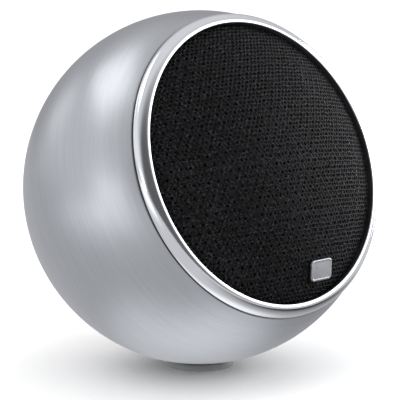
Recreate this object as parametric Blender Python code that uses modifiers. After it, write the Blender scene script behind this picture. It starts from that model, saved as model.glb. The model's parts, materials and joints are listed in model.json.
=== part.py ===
"""Ball-shaped desktop loudspeaker: a brushed steel ball with a 3-inch driver behind a domed cloth grille.

World frame: metres, +Z up. The origin is the centre of the foot pad's underside, on the desk.
The front faces -Y and is tilted up. Inside the ball everything is drawn in the ball's own frame,
whose +Z is the driver's axis (towards the listener), +X the listener's right and +Y up the grille.
"""

import math

import bmesh
import bpy
from mathutils import Matrix, Vector

MM = 0.001

# Driving sizes: ball and foot
BALL_RADIUS = 51.0 * MM
SHELL_WALL = 1.2 * MM
OPENING_RADIUS = 43.7 * MM  # front lip, on the ball's outer surface
FRONT_TILT = math.radians(20.0)  # driver's axis above the horizontal
BALL_LIFT = 1.2 * MM  # lowest point of the ball above the desk
FOOT_RADIUS = 9.5 * MM
FOOT_FLARE = 0.4 * MM
FOOT_LIP = 0.5 * MM

# Driving sizes: trim ring round the grille
RING_FACE_WIDTH = 3.5 * MM
RING_BEAD_RADIUS = 2.8 * MM
RING_BEAD_LIFT = 0.95 * MM  # bead's centre in front of the lip
RING_SETBACK = 0.15 * MM  # bead's outermost line inside the lip
RING_FLANGE_DROP = 0.7 * MM  # flange's front face behind the lip
RING_FLANGE_THICK = 1.8 * MM
RING_FLANGE_WIDTH = 4.4 * MM
RING_EDGE_BREAK = 0.2 * MM  # between the bead and the recess wall

# Driving sizes: grille
GRILLE_RISE = 9.5 * MM
GRILLE_SINK = 1.45 * MM  # cloth's edge behind the ring's front line
CLOTH_THICK = 0.5 * MM
SCREEN_THICK = 0.8 * MM
RIM_WIDTH = 2.45 * MM
PIN_RADIUS = 0.85 * MM
PIN_SHORT = 0.3 * MM  # pin's tip short of the flange's back
PIN_ROOT = 0.5 * MM  # pin's root inside the rim
SOCKET_WALL = 0.55 * MM
PIN_ANGLES = (90, 210, 330)
BADGE_WIDTH = 8.5 * MM
BADGE_HEIGHT = 6.0 * MM
BADGE_THICK = 0.7 * MM
BADGE_CORNER = 1.2 * MM
BADGE_INSET = 6.7 * MM  # badge's centre inside the grille's edge
BADGE_ANGLE = math.radians(-75.7)  # round the driver's axis, from the listener's right

# Driving sizes: driver
MOUNT_THICK = 2.5 * MM
GASKET_THICK = 0.7 * MM
BASKET_SHEET = 1.2 * MM
BASKET_WALL = 1.0 * MM
BASKET_DEPTH = 15.2 * MM
BASKET_STEP = 1.1 * MM
WINDOW_WIDTH = 30.0 * MM
WINDOW_MARGIN = 1.0 * MM
SURROUND_THICK = 0.5 * MM
SURROUND_FOOT = 2.3 * MM
SURROUND_INNER_FOOT = 2.0 * MM
ROLL_RADIUS = 2.3 * MM
CONE_THICK = 0.6 * MM
CONE_NECK_LIFT = 3.0 * MM  # cone's neck in front of the spider's ledge
CONE_BELLY = 0.3 * MM  # how far the cone's wall curves back
CONE_LIFT = 1.1 * MM  # cone's front edge in front of the basket's flange
DUST_CAP_RADIUS = 11.2 * MM
DUST_CAP_RISE = 3.4 * MM
DUST_CAP_THICK = 0.5 * MM
SPIDER_RADIUS = 23.2 * MM
SPIDER_THICK = 0.4 * MM
SPIDER_WAVE = 0.6 * MM
SPIDER_LEDGE = 2.6 * MM
SPIDER_LEDGE_HEIGHT = 3.9 * MM
MAGNET_RADIUS = 25.0 * MM
MAGNET_THICK = 9.0 * MM
MAGNET_BORE_MARGIN = 2.0 * MM  # magnet's bore wider than the front plate's, all round
PLATE_RADIUS = 23.5 * MM
PLATE_THICK = 3.3 * MM
POLE_RADIUS = 9.0 * MM
VENT_RADIUS = 2.5 * MM
FORMER_WALL = 0.3 * MM
COIL_WALL = 0.9 * MM
COIL_LENGTH = 7.4 * MM
FORMER_TAIL = 1.6 * MM  # former behind the coil
COIL_CLEARANCE = 0.7 * MM  # coil to the front plate's bore

# Driving sizes: rear panel and terminals
POST_PITCH = 19.05 * MM
POST_STUD_RADIUS = 1.9 * MM
POST_BASE_RADIUS = 4.6 * MM
POST_BASE_HEIGHT = 2.5 * MM
POST_WASHER_RADIUS = 4.2 * MM
POST_WASHER_THICK = 0.8 * MM
POST_CAP_RADIUS = 4.8 * MM
POST_CAP_LENGTH = 8.6 * MM
POST_CAP_ROOF = 1.6 * MM
NUT_RADIUS = 4.0 * MM
NUT_HEIGHT = 2.4 * MM
NUT_SIDES = 6
TAG_THICK = 0.5 * MM
TAG_WIDTH = 2.4 * MM
TAG_LENGTH = 7.0 * MM
TAG_OVERLAP = 1.0 * MM  # tail of a terminal's tag over its eye
TAG_ABOVE_STRIP = 1.6 * MM
REAR_HOLE_MARGIN = 2.0 * MM
REAR_LAND_WIDTH = 9.4 * MM
REAR_GASKET_WIDTH = 4.8 * MM
REAR_GASKET_THICK = 0.6 * MM
REAR_PLATE_OVERLAP = 5.7 * MM
REAR_PLATE_THICK = 2.5 * MM
INSERT_RADIUS = 4.0 * MM
INSERT_FLANGE = 0.9 * MM
INSERT_FLANGE_THICK = 0.8 * MM
INSERT_BORE = 2.5 * MM
INSERT_LENGTH = 8.0 * MM
INSERT_DOWN = 9.5 * MM
EDGE_BREAK = 0.6 * MM  # outer edges of the rear plate and the caps

# Driving sizes: fasteners, wiring and filling
SCREW_RADIUS = 1.1 * MM
SCREW_HEAD_RADIUS = 1.7 * MM
SCREW_HEAD_DEPTH = 0.9 * MM
SCREW_TAIL = 0.6 * MM
LEAD_RADIUS = 0.7 * MM
LEAD_STANDOFF = 3.0 * MM  # lead's middle outside the motor and the wadding
LEAD_BOW = 2.0 * MM
LEAD_RISE = 12.0 * MM  # the lead comes down to its terminal over this height
TINSEL_RADIUS = 0.3 * MM
TINSEL_SAG = 2.0 * MM
TINSEL_PLACE = 0.3  # where it joins the cone, as a share of the way from neck to edge
TINSEL_SINK = 0.5 * MM  # its end below the tag's end
STRIP_WIDTH = 12.0 * MM
STRIP_HEIGHT = 4.4 * MM
STRIP_THICK = 1.2 * MM
STRIP_TAG_OFFSET = 3.5 * MM
STRIP_LIFT = 0.2 * MM  # strip's top above the window's sill
WADDING_RADIUS = 23.0 * MM
WADDING_THICK = 17.0 * MM
WADDING_BEHIND_MAGNET = 4.0 * MM

# Clearances
GAP = 0.3 * MM  # between pieces that touch
CURVED_GAP = 0.45 * MM  # between a flat-sided piece and the ball's curved wall
OVERSHOOT = 1.0 * MM  # how far a cutter goes past the wall that it cuts

# Facets
BIG_STEPS = 40
DRIVER_STEPS = 28
FINE_SHEET_STEPS = 20
SMALL_STEPS = 14
SCREW_STEPS = 10


def clear_scene():
    for obj in list(bpy.data.objects):
        bpy.data.objects.remove(obj, do_unlink=True)


def new_collection(name):
    collection = bpy.data.collections.new(name)
    bpy.context.scene.collection.children.link(collection)
    return collection


clear_scene()
SPEAKER = new_collection("ball_speaker")
CUTTERS = new_collection("cutters")
CUTTERS.hide_render = True


def material(name, color, roughness, metallic=0.0):
    made = bpy.data.materials.new(name)
    made.use_nodes = True
    shader = made.node_tree.nodes["Principled BSDF"]
    shader.inputs["Base Color"].default_value = (*color, 1.0)
    shader.inputs["Roughness"].default_value = roughness
    shader.inputs["Metallic"].default_value = metallic
    return made


BRUSHED_STEEL = material("brushed_steel", (0.58, 0.60, 0.63), 0.36, 1.0)
SATIN_ALUMINIUM = material("satin_aluminium", (0.72, 0.74, 0.78), 0.18, 1.0)
BADGE_METAL = material("badge_metal", (0.80, 0.80, 0.83), 0.28, 1.0)
BLACK_CLOTH = material("black_cloth", (0.012, 0.012, 0.014), 0.90)
BLACK_PAINT = material("black_paint", (0.015, 0.015, 0.017), 0.50)
BLACK_PLASTIC = material("black_plastic", (0.02, 0.02, 0.022), 0.42)
RED_PLASTIC = material("red_plastic", (0.45, 0.02, 0.02), 0.38)
RUBBER = material("black_rubber", (0.025, 0.025, 0.027), 0.75)
CLEAR_SILICONE = material("pale_silicone", (0.62, 0.63, 0.65), 0.45)
ZINC_STEEL = material("zinc_steel", (0.60, 0.61, 0.62), 0.32, 1.0)
FERRITE = material("ferrite", (0.05, 0.05, 0.055), 0.65)
PAPER = material("cone_paper", (0.03, 0.03, 0.032), 0.80)
FOAM = material("surround_foam", (0.02, 0.02, 0.02), 0.88)
SPIDER_CLOTH = material("spider_cloth", (0.55, 0.38, 0.16), 0.85)
COPPER = material("copper_wire", (0.72, 0.30, 0.14), 0.35, 1.0)
KAPTON = material("former_film", (0.55, 0.28, 0.05), 0.35)
GOLD = material("gold_plate", (0.83, 0.62, 0.25), 0.25, 1.0)
WADDING = material("white_wadding", (0.75, 0.75, 0.72), 0.95)
PHENOLIC = material("phenolic_board", (0.22, 0.11, 0.05), 0.55)


# Frame of the ball: its centre, with +Z turned onto the driver's axis
BALL_CENTRE = Vector((0, 0, BALL_LIFT + BALL_RADIUS))
ball_frame = bpy.data.objects.new("ball_frame", None)
ball_frame.location = BALL_CENTRE
ball_frame.rotation_euler = (math.pi / 2 - FRONT_TILT, 0, 0)
SPEAKER.objects.link(ball_frame)


def place(obj, look, parent=ball_frame, at=(0, 0)):
    """Puts the object in the speaker's collection, on its frame, moved sideways by at."""
    SPEAKER.objects.link(obj)
    obj.parent = parent
    obj.location = (*at, 0)
    obj.data.materials.append(look)
    return obj


def arc(centre, radius, start, end, pieces):
    """Points (r, z) round centre, angles in degrees from +r towards +z."""
    points = []
    for i in range(pieces + 1):
        angle = math.radians(start + (end - start) * i / pieces)
        points.append((centre[0] + radius * math.cos(angle), centre[1] + radius * math.sin(angle)))
    return points


def degrees_at(centre, point):
    """The angle of point as seen from centre, from +r towards +z."""
    return math.degrees(math.atan2(point[1] - centre[1], point[0] - centre[0]))


def on_sphere(radius, height):
    """Distance from the axis of a sphere's surface at that height above its centre, or the reverse."""
    return math.sqrt(radius * radius - height * height)


def runs_up(outline):
    """True if a closed outline at +r climbs its outer side, which would turn the solid inside out."""
    area = 0.0
    for (r0, z0), (r1, z1) in zip(outline, outline[1:] + outline[:1]):
        area += r0 * z1 - r1 * z0
    return area > 0


def add_screw(obj, steps):
    screw = obj.modifiers.new("Turn", "SCREW")
    screw.axis = "Z"
    screw.angle = math.tau
    screw.steps = steps
    screw.render_steps = steps
    screw.use_merge_vertices = True
    screw.merge_threshold = 1e-6
    screw.use_smooth_shade = True


def profile_mesh(name, points):
    """A turned solid's half outline, running down its outer side. It is a loop unless it starts on the axis."""
    if runs_up(points):
        points = points[::-1]
    edges = [(i, i + 1) for i in range(len(points) - 1)]
    if points[0][0] > 0:
        edges.append((len(points) - 1, 0))
    mesh = bpy.data.meshes.new(name)
    mesh.from_pydata([(r, 0, z) for r, z in points], edges, [])
    return mesh


def turned(name, outline, look, steps=DRIVER_STEPS, parent=ball_frame, at=(0, 0)):
    """A solid turned about Z from (r, z) points: a loop, or a path whose two ends lie on the axis."""
    obj = bpy.data.objects.new(name, profile_mesh(name, outline))
    add_screw(obj, steps)
    return place(obj, look, parent, at)


def turned_sheet(name, path, thickness, look, steps=DRIVER_STEPS):
    """A thin turned shell whose middle surface is the open path of (r, z) points."""
    mesh = bpy.data.meshes.new(name)
    mesh.from_pydata([(r, 0, z) for r, z in path], [(i, i + 1) for i in range(len(path) - 1)], [])
    obj = bpy.data.objects.new(name, mesh)
    add_screw(obj, steps)
    sheet = obj.modifiers.new("Sheet", "SOLIDIFY")
    sheet.thickness = thickness
    sheet.offset = 0
    sheet.use_even_offset = True
    return place(obj, look)


def tube(name, inner, outer, low, high, look, steps=DRIVER_STEPS, at=(0, 0)):
    """A plain ring or tube about the axis."""
    return turned(name, [(outer, high), (outer, low), (inner, low), (inner, high)], look, steps, at=at)


def cutter(name, obj_mesh, parent=ball_frame, at=(0, 0)):
    obj = bpy.data.objects.new(name, obj_mesh)
    obj.parent = parent
    obj.location = (*at, 0)
    obj.hide_render = True
    obj.display_type = "WIRE"
    CUTTERS.objects.link(obj)
    return obj


def cone_mesh(name, radius_low, radius_high, low, high, segments=SCREW_STEPS):
    """A round bar or a cone from height low to height high on its own axis."""
    mesh = bpy.data.meshes.new(name)
    solid = bmesh.new()
    bmesh.ops.create_cone(
        solid,
        cap_ends=True,
        segments=segments,
        radius1=radius_low,
        radius2=radius_high,
        depth=high - low,
        matrix=Matrix.Translation((0, 0, (low + high) / 2)),
    )
    solid.to_mesh(mesh)
    solid.free()
    return mesh


def box_mesh(name, size, centre):
    mesh = bpy.data.meshes.new(name)
    solid = bmesh.new()
    bmesh.ops.create_cube(solid, size=1.0, matrix=Matrix.Translation(centre) @ Matrix.Diagonal((*size, 1)))
    solid.to_mesh(mesh)
    solid.free()
    return mesh


def boolean(obj, other, operation):
    join = obj.modifiers.new(f"{operation.title()}_{other.name}", "BOOLEAN")
    join.operation = operation
    join.solver = "EXACT"
    join.object = other


def drill(obj, name, radius, low, high, at, segments=SCREW_STEPS):
    """A round hole through obj, parallel to the driver's axis."""
    boolean(obj, cutter(name, cone_mesh(name, radius, radius, low, high, segments), at=at), "DIFFERENCE")


def polar(radius, degrees):
    angle = math.radians(degrees)
    return (radius * math.cos(angle), radius * math.sin(angle))


def wire(name, points, radius, look):
    """A round wire through the points, which are in the ball's frame."""
    curve = bpy.data.curves.new(name, "CURVE")
    curve.dimensions = "3D"
    curve.bevel_depth = radius
    curve.bevel_resolution = 2
    curve.use_fill_caps = True
    spline = curve.splines.new("POLY")
    spline.points.add(len(points) - 1)
    for knot, point in zip(spline.points, points):
        knot.co = (*point, 1)
    return place(bpy.data.objects.new(name, curve), look)


def bezier(start, start_pull, end_pull, end, pieces):
    """Points of one cubic curve, with a pull at each end."""
    points = []
    for i in range(pieces + 1):
        t = i / pieces
        u = 1 - t
        weights = (u**3, 3 * u * u * t, 3 * u * t * t, t**3)
        corners = (start, start_pull, end_pull, end)
        points.append(sum((w * Vector(c) for w, c in zip(weights, corners)), Vector()))
    return points


# Levels along the driver's axis and radii about it, from the lip inwards
lip_z = on_sphere(BALL_RADIUS, OPENING_RADIUS)
lip_inner_radius = on_sphere(BALL_RADIUS - SHELL_WALL, lip_z)
recess_radius = OPENING_RADIUS - RING_FACE_WIDTH
ring_flange_top = lip_z - RING_FLANGE_DROP
ring_flange_bottom = ring_flange_top - RING_FLANGE_THICK
ring_flange_inner = recess_radius - RING_FLANGE_WIDTH
ring_bead = (OPENING_RADIUS - RING_SETBACK - RING_BEAD_RADIUS, lip_z + RING_BEAD_LIFT)
ring_front = ring_bead[1] + RING_BEAD_RADIUS
fixing_radius = recess_radius - RING_FLANGE_WIDTH / 2
basket_top = ring_flange_bottom - GAP
basket_flange_bottom = basket_top - BASKET_SHEET
gasket_top = basket_flange_bottom - GAP
mount_top = gasket_top - GASKET_THICK - GAP
mount_bottom = mount_top - MOUNT_THICK
basket_bottom = basket_top - BASKET_DEPTH
basket_floor = basket_bottom + BASKET_WALL
surround_outer = ring_flange_inner - GAP
basket_inner = surround_outer - SURROUND_FOOT
roll_inner = basket_inner - 2 * ROLL_RADIUS
ledge_z = basket_bottom + SPIDER_LEDGE_HEIGHT
ledge_outer = SPIDER_RADIUS + GAP
ledge_inner = SPIDER_RADIUS - SPIDER_LEDGE
plate_top = basket_bottom - GAP
plate_bottom = plate_top - PLATE_THICK
magnet_top = plate_bottom - GAP
magnet_bottom = magnet_top - MAGNET_THICK
yoke_top = magnet_bottom - GAP
yoke_bottom = yoke_top - PLATE_THICK
former_inner = POLE_RADIUS + GAP
former_outer = former_inner + FORMER_WALL
coil_inner = former_outer + GAP
coil_outer = coil_inner + COIL_WALL
plate_bore = coil_outer + COIL_CLEARANCE
coil_middle = (plate_top + plate_bottom) / 2
cone_front = basket_top + CONE_LIFT
cone_neck = ledge_z + CONE_NECK_LIFT
screw_angles = [45 + 90 * i for i in range(4)]

# Levels and radii of the rear panel
rear_hole = POST_PITCH / 2 + NUT_RADIUS + REAR_HOLE_MARGIN
rear_flat_radius = rear_hole + REAR_LAND_WIDTH
rear_flat_z = -on_sphere(BALL_RADIUS, rear_flat_radius)
rear_gasket_z = rear_flat_z - GAP
rear_plate_inner = rear_gasket_z - REAR_GASKET_THICK - GAP
rear_plate_outer = rear_plate_inner - REAR_PLATE_THICK
rear_plate_radius = rear_hole + REAR_PLATE_OVERLAP
rear_screw_circle = rear_hole + GAP + REAR_GASKET_WIDTH / 2
rear_screw_angles = (90, 210, 330)
screw_hole = SCREW_RADIUS + GAP
post_bore = POST_STUD_RADIUS + GAP
terminal_tag_z = rear_plate_inner + GAP


def countersunk_screw(name, head_z, tip_z, at, look):
    """A countersunk screw whose head faces +Z if head_z is above tip_z, and -Z otherwise."""
    towards_tip = math.copysign(1, tip_z - head_z)
    outline = [
        (0, head_z),
        (SCREW_HEAD_RADIUS, head_z),
        (SCREW_RADIUS, head_z + towards_tip * SCREW_HEAD_DEPTH),
        (SCREW_RADIUS, tip_z - towards_tip * SCREW_RADIUS / 2),
        (SCREW_RADIUS / 2, tip_z),
        (0, tip_z),
    ]
    return turned(name, outline, look, SCREW_STEPS, at=at)


def countersink(obj, name, face_z, towards_tip, at):
    """The countersunk seat for a screw whose head is flush with face_z. Its narrow end is inside the hole."""
    head = SCREW_HEAD_RADIUS + GAP
    narrow = screw_hole / 2
    depth = (head - narrow) * SCREW_HEAD_DEPTH / (SCREW_HEAD_RADIUS - SCREW_RADIUS)
    outline = [
        (0, face_z - towards_tip * OVERSHOOT),
        (head, face_z - towards_tip * OVERSHOOT),
        (head, face_z),
        (narrow, face_z + towards_tip * depth),
        (0, face_z + towards_tip * depth),
    ]
    seat = cutter(name, profile_mesh(name, outline), at=at)
    add_screw(seat, SCREW_STEPS)
    boolean(obj, seat, "DIFFERENCE")


def make_foot():
    """A dished pad: its seat is the ball's own curve, one gap away."""
    seat_radius = BALL_RADIUS + GAP
    centre = (0, BALL_CENTRE.z)
    seat_rim = FOOT_RADIUS - FOOT_LIP
    rim_angle = degrees_at(centre, (seat_rim, centre[1] - on_sphere(seat_radius, seat_rim)))
    seat = arc(centre, seat_radius, -90, rim_angle, 4)
    seat[0] = (0, centre[1] - seat_radius)
    rim_z = seat[-1][1]
    outline = seat + [(FOOT_RADIUS, rim_z), (FOOT_RADIUS + FOOT_FLARE, 0), (0, 0)]
    turned("foot_pad", outline, CLEAR_SILICONE, DRIVER_STEPS, parent=None)


def make_shell():
    """The ball: open at the front lip, flat round the rear hole."""
    centre = (0, 0)
    inner_radius = BALL_RADIUS - SHELL_WALL
    inner_flat_z = rear_flat_z + SHELL_WALL
    front = degrees_at(centre, (OPENING_RADIUS, lip_z))
    rear = degrees_at(centre, (rear_flat_radius, rear_flat_z))
    inner_front = degrees_at(centre, (lip_inner_radius, lip_z))
    inner_rear = degrees_at(centre, (on_sphere(inner_radius, inner_flat_z), inner_flat_z))
    outline = arc(centre, BALL_RADIUS, front, rear, 13)
    outline += [(rear_hole, rear_flat_z), (rear_hole, inner_flat_z)]
    outline += arc(centre, inner_radius, inner_rear, inner_front, 11)
    shell = turned("housing_shell", outline, BRUSHED_STEEL, BIG_STEPS)
    for number, degrees in enumerate(rear_screw_angles, 1):
        at = polar(rear_screw_circle, degrees)
        drill(shell, f"cut_shell_{number}", screw_hole, rear_flat_z - OVERSHOOT, inner_flat_z + OVERSHOOT, at)


def make_front_ring():
    """Trim ring: a rounded bead outside, a recess for the grille, and a flange that holds the driver."""
    flank = ring_bead[0] + on_sphere(RING_BEAD_RADIUS, lip_z + GAP - ring_bead[1])
    start = degrees_at(ring_bead, (flank, lip_z + GAP))
    stop = recess_radius + RING_EDGE_BREAK
    stop_z = ring_bead[1] + on_sphere(RING_BEAD_RADIUS, stop - ring_bead[0])
    end = degrees_at(ring_bead, (stop, stop_z))
    outline = arc(ring_bead, RING_BEAD_RADIUS, start, end, 9)
    spigot = lip_inner_radius - GAP
    outline += [
        (recess_radius, stop_z - RING_EDGE_BREAK),
        (recess_radius, ring_flange_top),
        (ring_flange_inner, ring_flange_top),
        (ring_flange_inner, ring_flange_bottom),
        (spigot, ring_flange_bottom),
        (spigot, lip_z + GAP),
    ]
    ring = turned("front_ring", outline, SATIN_ALUMINIUM, BIG_STEPS)
    low = ring_flange_bottom - RING_FLANGE_THICK
    high = ring_flange_top + RING_FLANGE_THICK
    for number, degrees in enumerate(screw_angles, 1):
        at = polar(fixing_radius, degrees)
        drill(ring, f"cut_ring_{number}", screw_hole, low, high, at)
        countersink(ring, f"sink_ring_{number}", ring_flange_top, -1, at)
    socket_hole = PIN_RADIUS + GAP + SOCKET_WALL + GAP
    for number, degrees in enumerate(PIN_ANGLES, 1):
        drill(ring, f"cut_socket_{number}", socket_hole, low, high, polar(fixing_radius, degrees))


def make_sockets():
    inner = PIN_RADIUS + GAP
    outer = inner + SOCKET_WALL
    for number, degrees in enumerate(PIN_ANGLES, 1):
        at = polar(fixing_radius, degrees)
        name = f"grille_socket_{number}"
        tube(name, inner, outer, ring_flange_bottom, ring_flange_top, RUBBER, SCREW_STEPS, at=at)


def make_front_screws():
    for number, degrees in enumerate(screw_angles, 1):
        at = polar(fixing_radius, degrees)
        tip = mount_bottom - SCREW_TAIL
        countersunk_screw(f"front_screw_{number}", ring_flange_top, tip, at, ZINC_STEEL)


def make_mounting_ring():
    outer = on_sphere(BALL_RADIUS - SHELL_WALL, mount_top) - CURVED_GAP
    ring = tube("mounting_ring", ring_flange_inner, outer, mount_bottom, mount_top, ZINC_STEEL)
    for number, degrees in enumerate(screw_angles, 1):
        at = polar(fixing_radius, degrees)
        drill(ring, f"cut_mount_{number}", screw_hole, mount_bottom - OVERSHOOT, mount_top + OVERSHOOT, at)


# The grille's dome: one centre for the cloth, the screen and the rim's top
cloth_radius = recess_radius - GAP
cloth_edge_z = ring_front - GRILLE_SINK
dome_radius = (cloth_radius**2 + GRILLE_RISE**2) / (2 * GRILLE_RISE)
dome_centre = (0, cloth_edge_z + GRILLE_RISE - dome_radius)
screen_outer_radius = dome_radius - CLOTH_THICK - GAP
screen_inner_radius = screen_outer_radius - SCREEN_THICK
rim_dome_radius = screen_inner_radius - GAP
rim_outer = cloth_radius - CLOTH_THICK - GAP
rim_inner = rim_outer - RIM_WIDTH
grille_back = ring_flange_top + GAP


def dome_arc(radius, edge, pieces):
    """The dome's curve at that radius, from the axis out to edge."""
    edge_z = dome_centre[1] + on_sphere(radius, edge)
    points = arc(dome_centre, radius, 90, degrees_at(dome_centre, (edge, edge_z)), pieces)
    points[0] = (0, dome_centre[1] + radius)
    return points


def make_grille():
    outside = dome_arc(dome_radius, cloth_radius, 5)
    inside = dome_arc(dome_radius - CLOTH_THICK, cloth_radius - CLOTH_THICK, 5)
    skirt = [(cloth_radius, grille_back), (cloth_radius - CLOTH_THICK, grille_back)]
    turned("grille_cloth", outside + skirt + inside[::-1], BLACK_CLOTH, BIG_STEPS)
    outside = dome_arc(screen_outer_radius, rim_outer, 5)
    inside = dome_arc(screen_inner_radius, rim_outer, 5)
    turned("grille_screen", outside + inside[::-1], BLACK_PAINT, BIG_STEPS)
    top = [(r, dome_centre[1] + on_sphere(rim_dome_radius, r)) for r in (rim_inner, rim_outer)]
    outline = top + [(rim_outer, grille_back), (rim_inner, grille_back)]
    rim = turned("grille_rim", outline, BLACK_PLASTIC, BIG_STEPS)
    for number, degrees in enumerate(PIN_ANGLES, 1):
        name = f"pin_{number}"
        tip = ring_flange_bottom + PIN_SHORT
        mesh = cone_mesh(name, PIN_RADIUS, PIN_RADIUS, tip, grille_back + PIN_ROOT)
        boolean(rim, cutter(name, mesh, at=polar(fixing_radius, degrees)), "UNION")


def rounded_rectangle(width, height, corner, pieces):
    points = []
    for quarter, (sx, sy) in enumerate(((1, 1), (-1, 1), (-1, -1), (1, -1))):
        centre = (sx * (width / 2 - corner), sy * (height / 2 - corner))
        points += arc(centre, corner, 90 * quarter, 90 * quarter + 90, pieces)
    return points


def make_badge():
    """A blank plate, tangent to the dome, one gap in front of the cloth."""
    curve = bpy.data.curves.new("badge", "CURVE")
    curve.dimensions = "2D"
    curve.fill_mode = "BOTH"
    curve.extrude = BADGE_THICK / 2
    outline = rounded_rectangle(BADGE_WIDTH, BADGE_HEIGHT, BADGE_CORNER, 3)
    spline = curve.splines.new("POLY")
    spline.points.add(len(outline) - 1)
    for knot, point in zip(spline.points, outline):
        knot.co = (*point, 0, 1)
    spline.use_cyclic_u = True
    badge = place(bpy.data.objects.new("badge", curve), BADGE_METAL)
    off_axis = cloth_radius - BADGE_INSET
    sideways = (off_axis * math.cos(BADGE_ANGLE), off_axis * math.sin(BADGE_ANGLE))
    outward = Vector((*sideways, on_sphere(dome_radius, off_axis))).normalized()
    centre = Vector((0, 0, dome_centre[1])) + outward * (dome_radius + GAP + BADGE_THICK / 2)
    badge.location = centre
    across = Vector((1, 0, 0))
    up = outward.cross(across).normalized()
    across = up.cross(outward)
    badge.rotation_euler = Matrix((across, up, outward)).transposed().to_euler()


def basket_outer_at(z):
    """Radius of the basket's sloping wall, on its outside, at that level."""
    share = (z - (ledge_z - BASKET_WALL)) / (basket_flange_bottom - (ledge_z - BASKET_WALL))
    low = ledge_outer + BASKET_WALL / 2
    return low + share * (basket_inner + BASKET_WALL - low)


def make_basket():
    flange = recess_radius - GAP
    wall_bottom = ledge_z - BASKET_WALL
    outline = [
        (flange, basket_top),
        (basket_inner, basket_top),
        (basket_inner, basket_top - BASKET_STEP),
        (ledge_outer, ledge_z),
        (ledge_inner, ledge_z),
        (ledge_inner, basket_floor),
        (plate_bore, basket_floor),
        (plate_bore, basket_bottom),
        (ledge_inner + BASKET_WALL, basket_bottom),
        (ledge_inner + BASKET_WALL, wall_bottom),
        (basket_outer_at(wall_bottom), wall_bottom),
        (basket_outer_at(basket_flange_bottom), basket_flange_bottom),
        (flange, basket_flange_bottom),
    ]
    basket = turned("driver_basket", outline, BLACK_PAINT)
    low = ledge_z + WINDOW_MARGIN
    high = basket_flange_bottom - WINDOW_MARGIN
    reach = recess_radius
    for number, degrees in enumerate((0, 90, 180, 270), 1):
        name = f"cut_window_{number}"
        centre = (reach / 2 + plate_bore, 0, (low + high) / 2)
        mesh = box_mesh(name, (reach, WINDOW_WIDTH, high - low), centre)
        window = cutter(name, mesh)
        window.rotation_euler = (0, 0, math.radians(degrees))
        boolean(basket, window, "DIFFERENCE")
    through_flange = (basket_flange_bottom - OVERSHOOT, basket_top + OVERSHOOT)
    for number, degrees in enumerate(screw_angles, 1):
        at = polar(fixing_radius, degrees)
        drill(basket, f"cut_basket_{number}", screw_hole, *through_flange, at)


def make_driver_gasket():
    flange = recess_radius - GAP
    low = gasket_top - GASKET_THICK
    gasket = tube("driver_gasket", ring_flange_inner, flange, low, gasket_top, RUBBER)
    for number, degrees in enumerate(screw_angles, 1):
        at = polar(fixing_radius, degrees)
        drill(gasket, f"cut_gasket_{number}", screw_hole, low - OVERSHOOT, gasket_top + OVERSHOOT, at)


def make_motor():
    tube("front_plate", plate_bore, PLATE_RADIUS, plate_bottom, plate_top, ZINC_STEEL)
    tube("magnet", plate_bore + MAGNET_BORE_MARGIN, MAGNET_RADIUS, magnet_bottom, magnet_top, FERRITE)
    outline = [
        (POLE_RADIUS, plate_top),
        (POLE_RADIUS, yoke_top),
        (PLATE_RADIUS, yoke_top),
        (PLATE_RADIUS, yoke_bottom),
        (VENT_RADIUS, yoke_bottom),
        (VENT_RADIUS, plate_top),
    ]
    turned("pole_yoke", outline, ZINC_STEEL)


def make_moving_assembly():
    coil_bottom = coil_middle - COIL_LENGTH / 2
    tube("coil_former", former_inner, former_outer, coil_bottom - FORMER_TAIL, cone_neck, KAPTON)
    tube("voice_coil", coil_inner, coil_outer, coil_bottom, coil_bottom + COIL_LENGTH, COPPER)
    neck = (coil_inner, cone_neck)
    edge = (roll_inner - GAP, cone_front - CONE_THICK / 2)
    belly = ((neck[0] + edge[0]) / 2, (neck[1] + edge[1]) / 2 - CONE_BELLY)
    turned_sheet("cone", [edge, belly, neck], CONE_THICK, PAPER)
    make_dust_cap(neck, belly)


def make_dust_cap(neck, belly):
    """A domed cap that covers the former, one gap in front of the cone."""
    slope = (belly[1] - neck[1]) / (belly[0] - neck[0])
    seat_z = neck[1] + slope * (DUST_CAP_RADIUS - neck[0]) + CONE_THICK / 2 * math.hypot(1, slope)
    edge_z = seat_z + GAP + DUST_CAP_THICK
    radius = (DUST_CAP_RADIUS**2 + DUST_CAP_RISE**2) / (2 * DUST_CAP_RISE)
    centre = (0, edge_z + DUST_CAP_RISE - radius)
    path = arc(centre, radius, 90, degrees_at(centre, (DUST_CAP_RADIUS, edge_z)), 4)
    path[0] = (0, centre[1] + radius)
    turned_sheet("dust_cap", path, DUST_CAP_THICK, PAPER, FINE_SHEET_STEPS)


def make_suspension():
    inner_z = cone_front + GAP + SURROUND_THICK / 2
    outer_z = basket_top + GAP + SURROUND_THICK / 2
    middle = (roll_inner + basket_inner) / 2
    path = [(surround_outer, outer_z)]
    pieces = 5
    for i in range(pieces + 1):
        angle = math.pi * i / pieces
        level = outer_z + (inner_z - outer_z) * i / pieces
        path.append((middle + ROLL_RADIUS * math.cos(angle), level + ROLL_RADIUS * math.sin(angle)))
    path.append((roll_inner - SURROUND_INNER_FOOT, inner_z))
    turned_sheet("surround", path, SURROUND_THICK, FOAM, DRIVER_STEPS)
    foot_z = ledge_z + GAP + SPIDER_THICK / 2 + SPIDER_WAVE
    path = [(SPIDER_RADIUS, foot_z - SPIDER_WAVE), (ledge_inner, foot_z - SPIDER_WAVE)]
    waves = 5
    inner_radius = former_outer + GAP
    for i in range(1, waves + 1):
        r = ledge_inner + (inner_radius - ledge_inner) * i / (waves + 1)
        path.append((r, foot_z + SPIDER_WAVE * (1 if i % 2 else -1)))
    path.append((inner_radius, foot_z))
    turned_sheet("spider", path, SPIDER_THICK, SPIDER_CLOTH, FINE_SHEET_STEPS)


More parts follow.
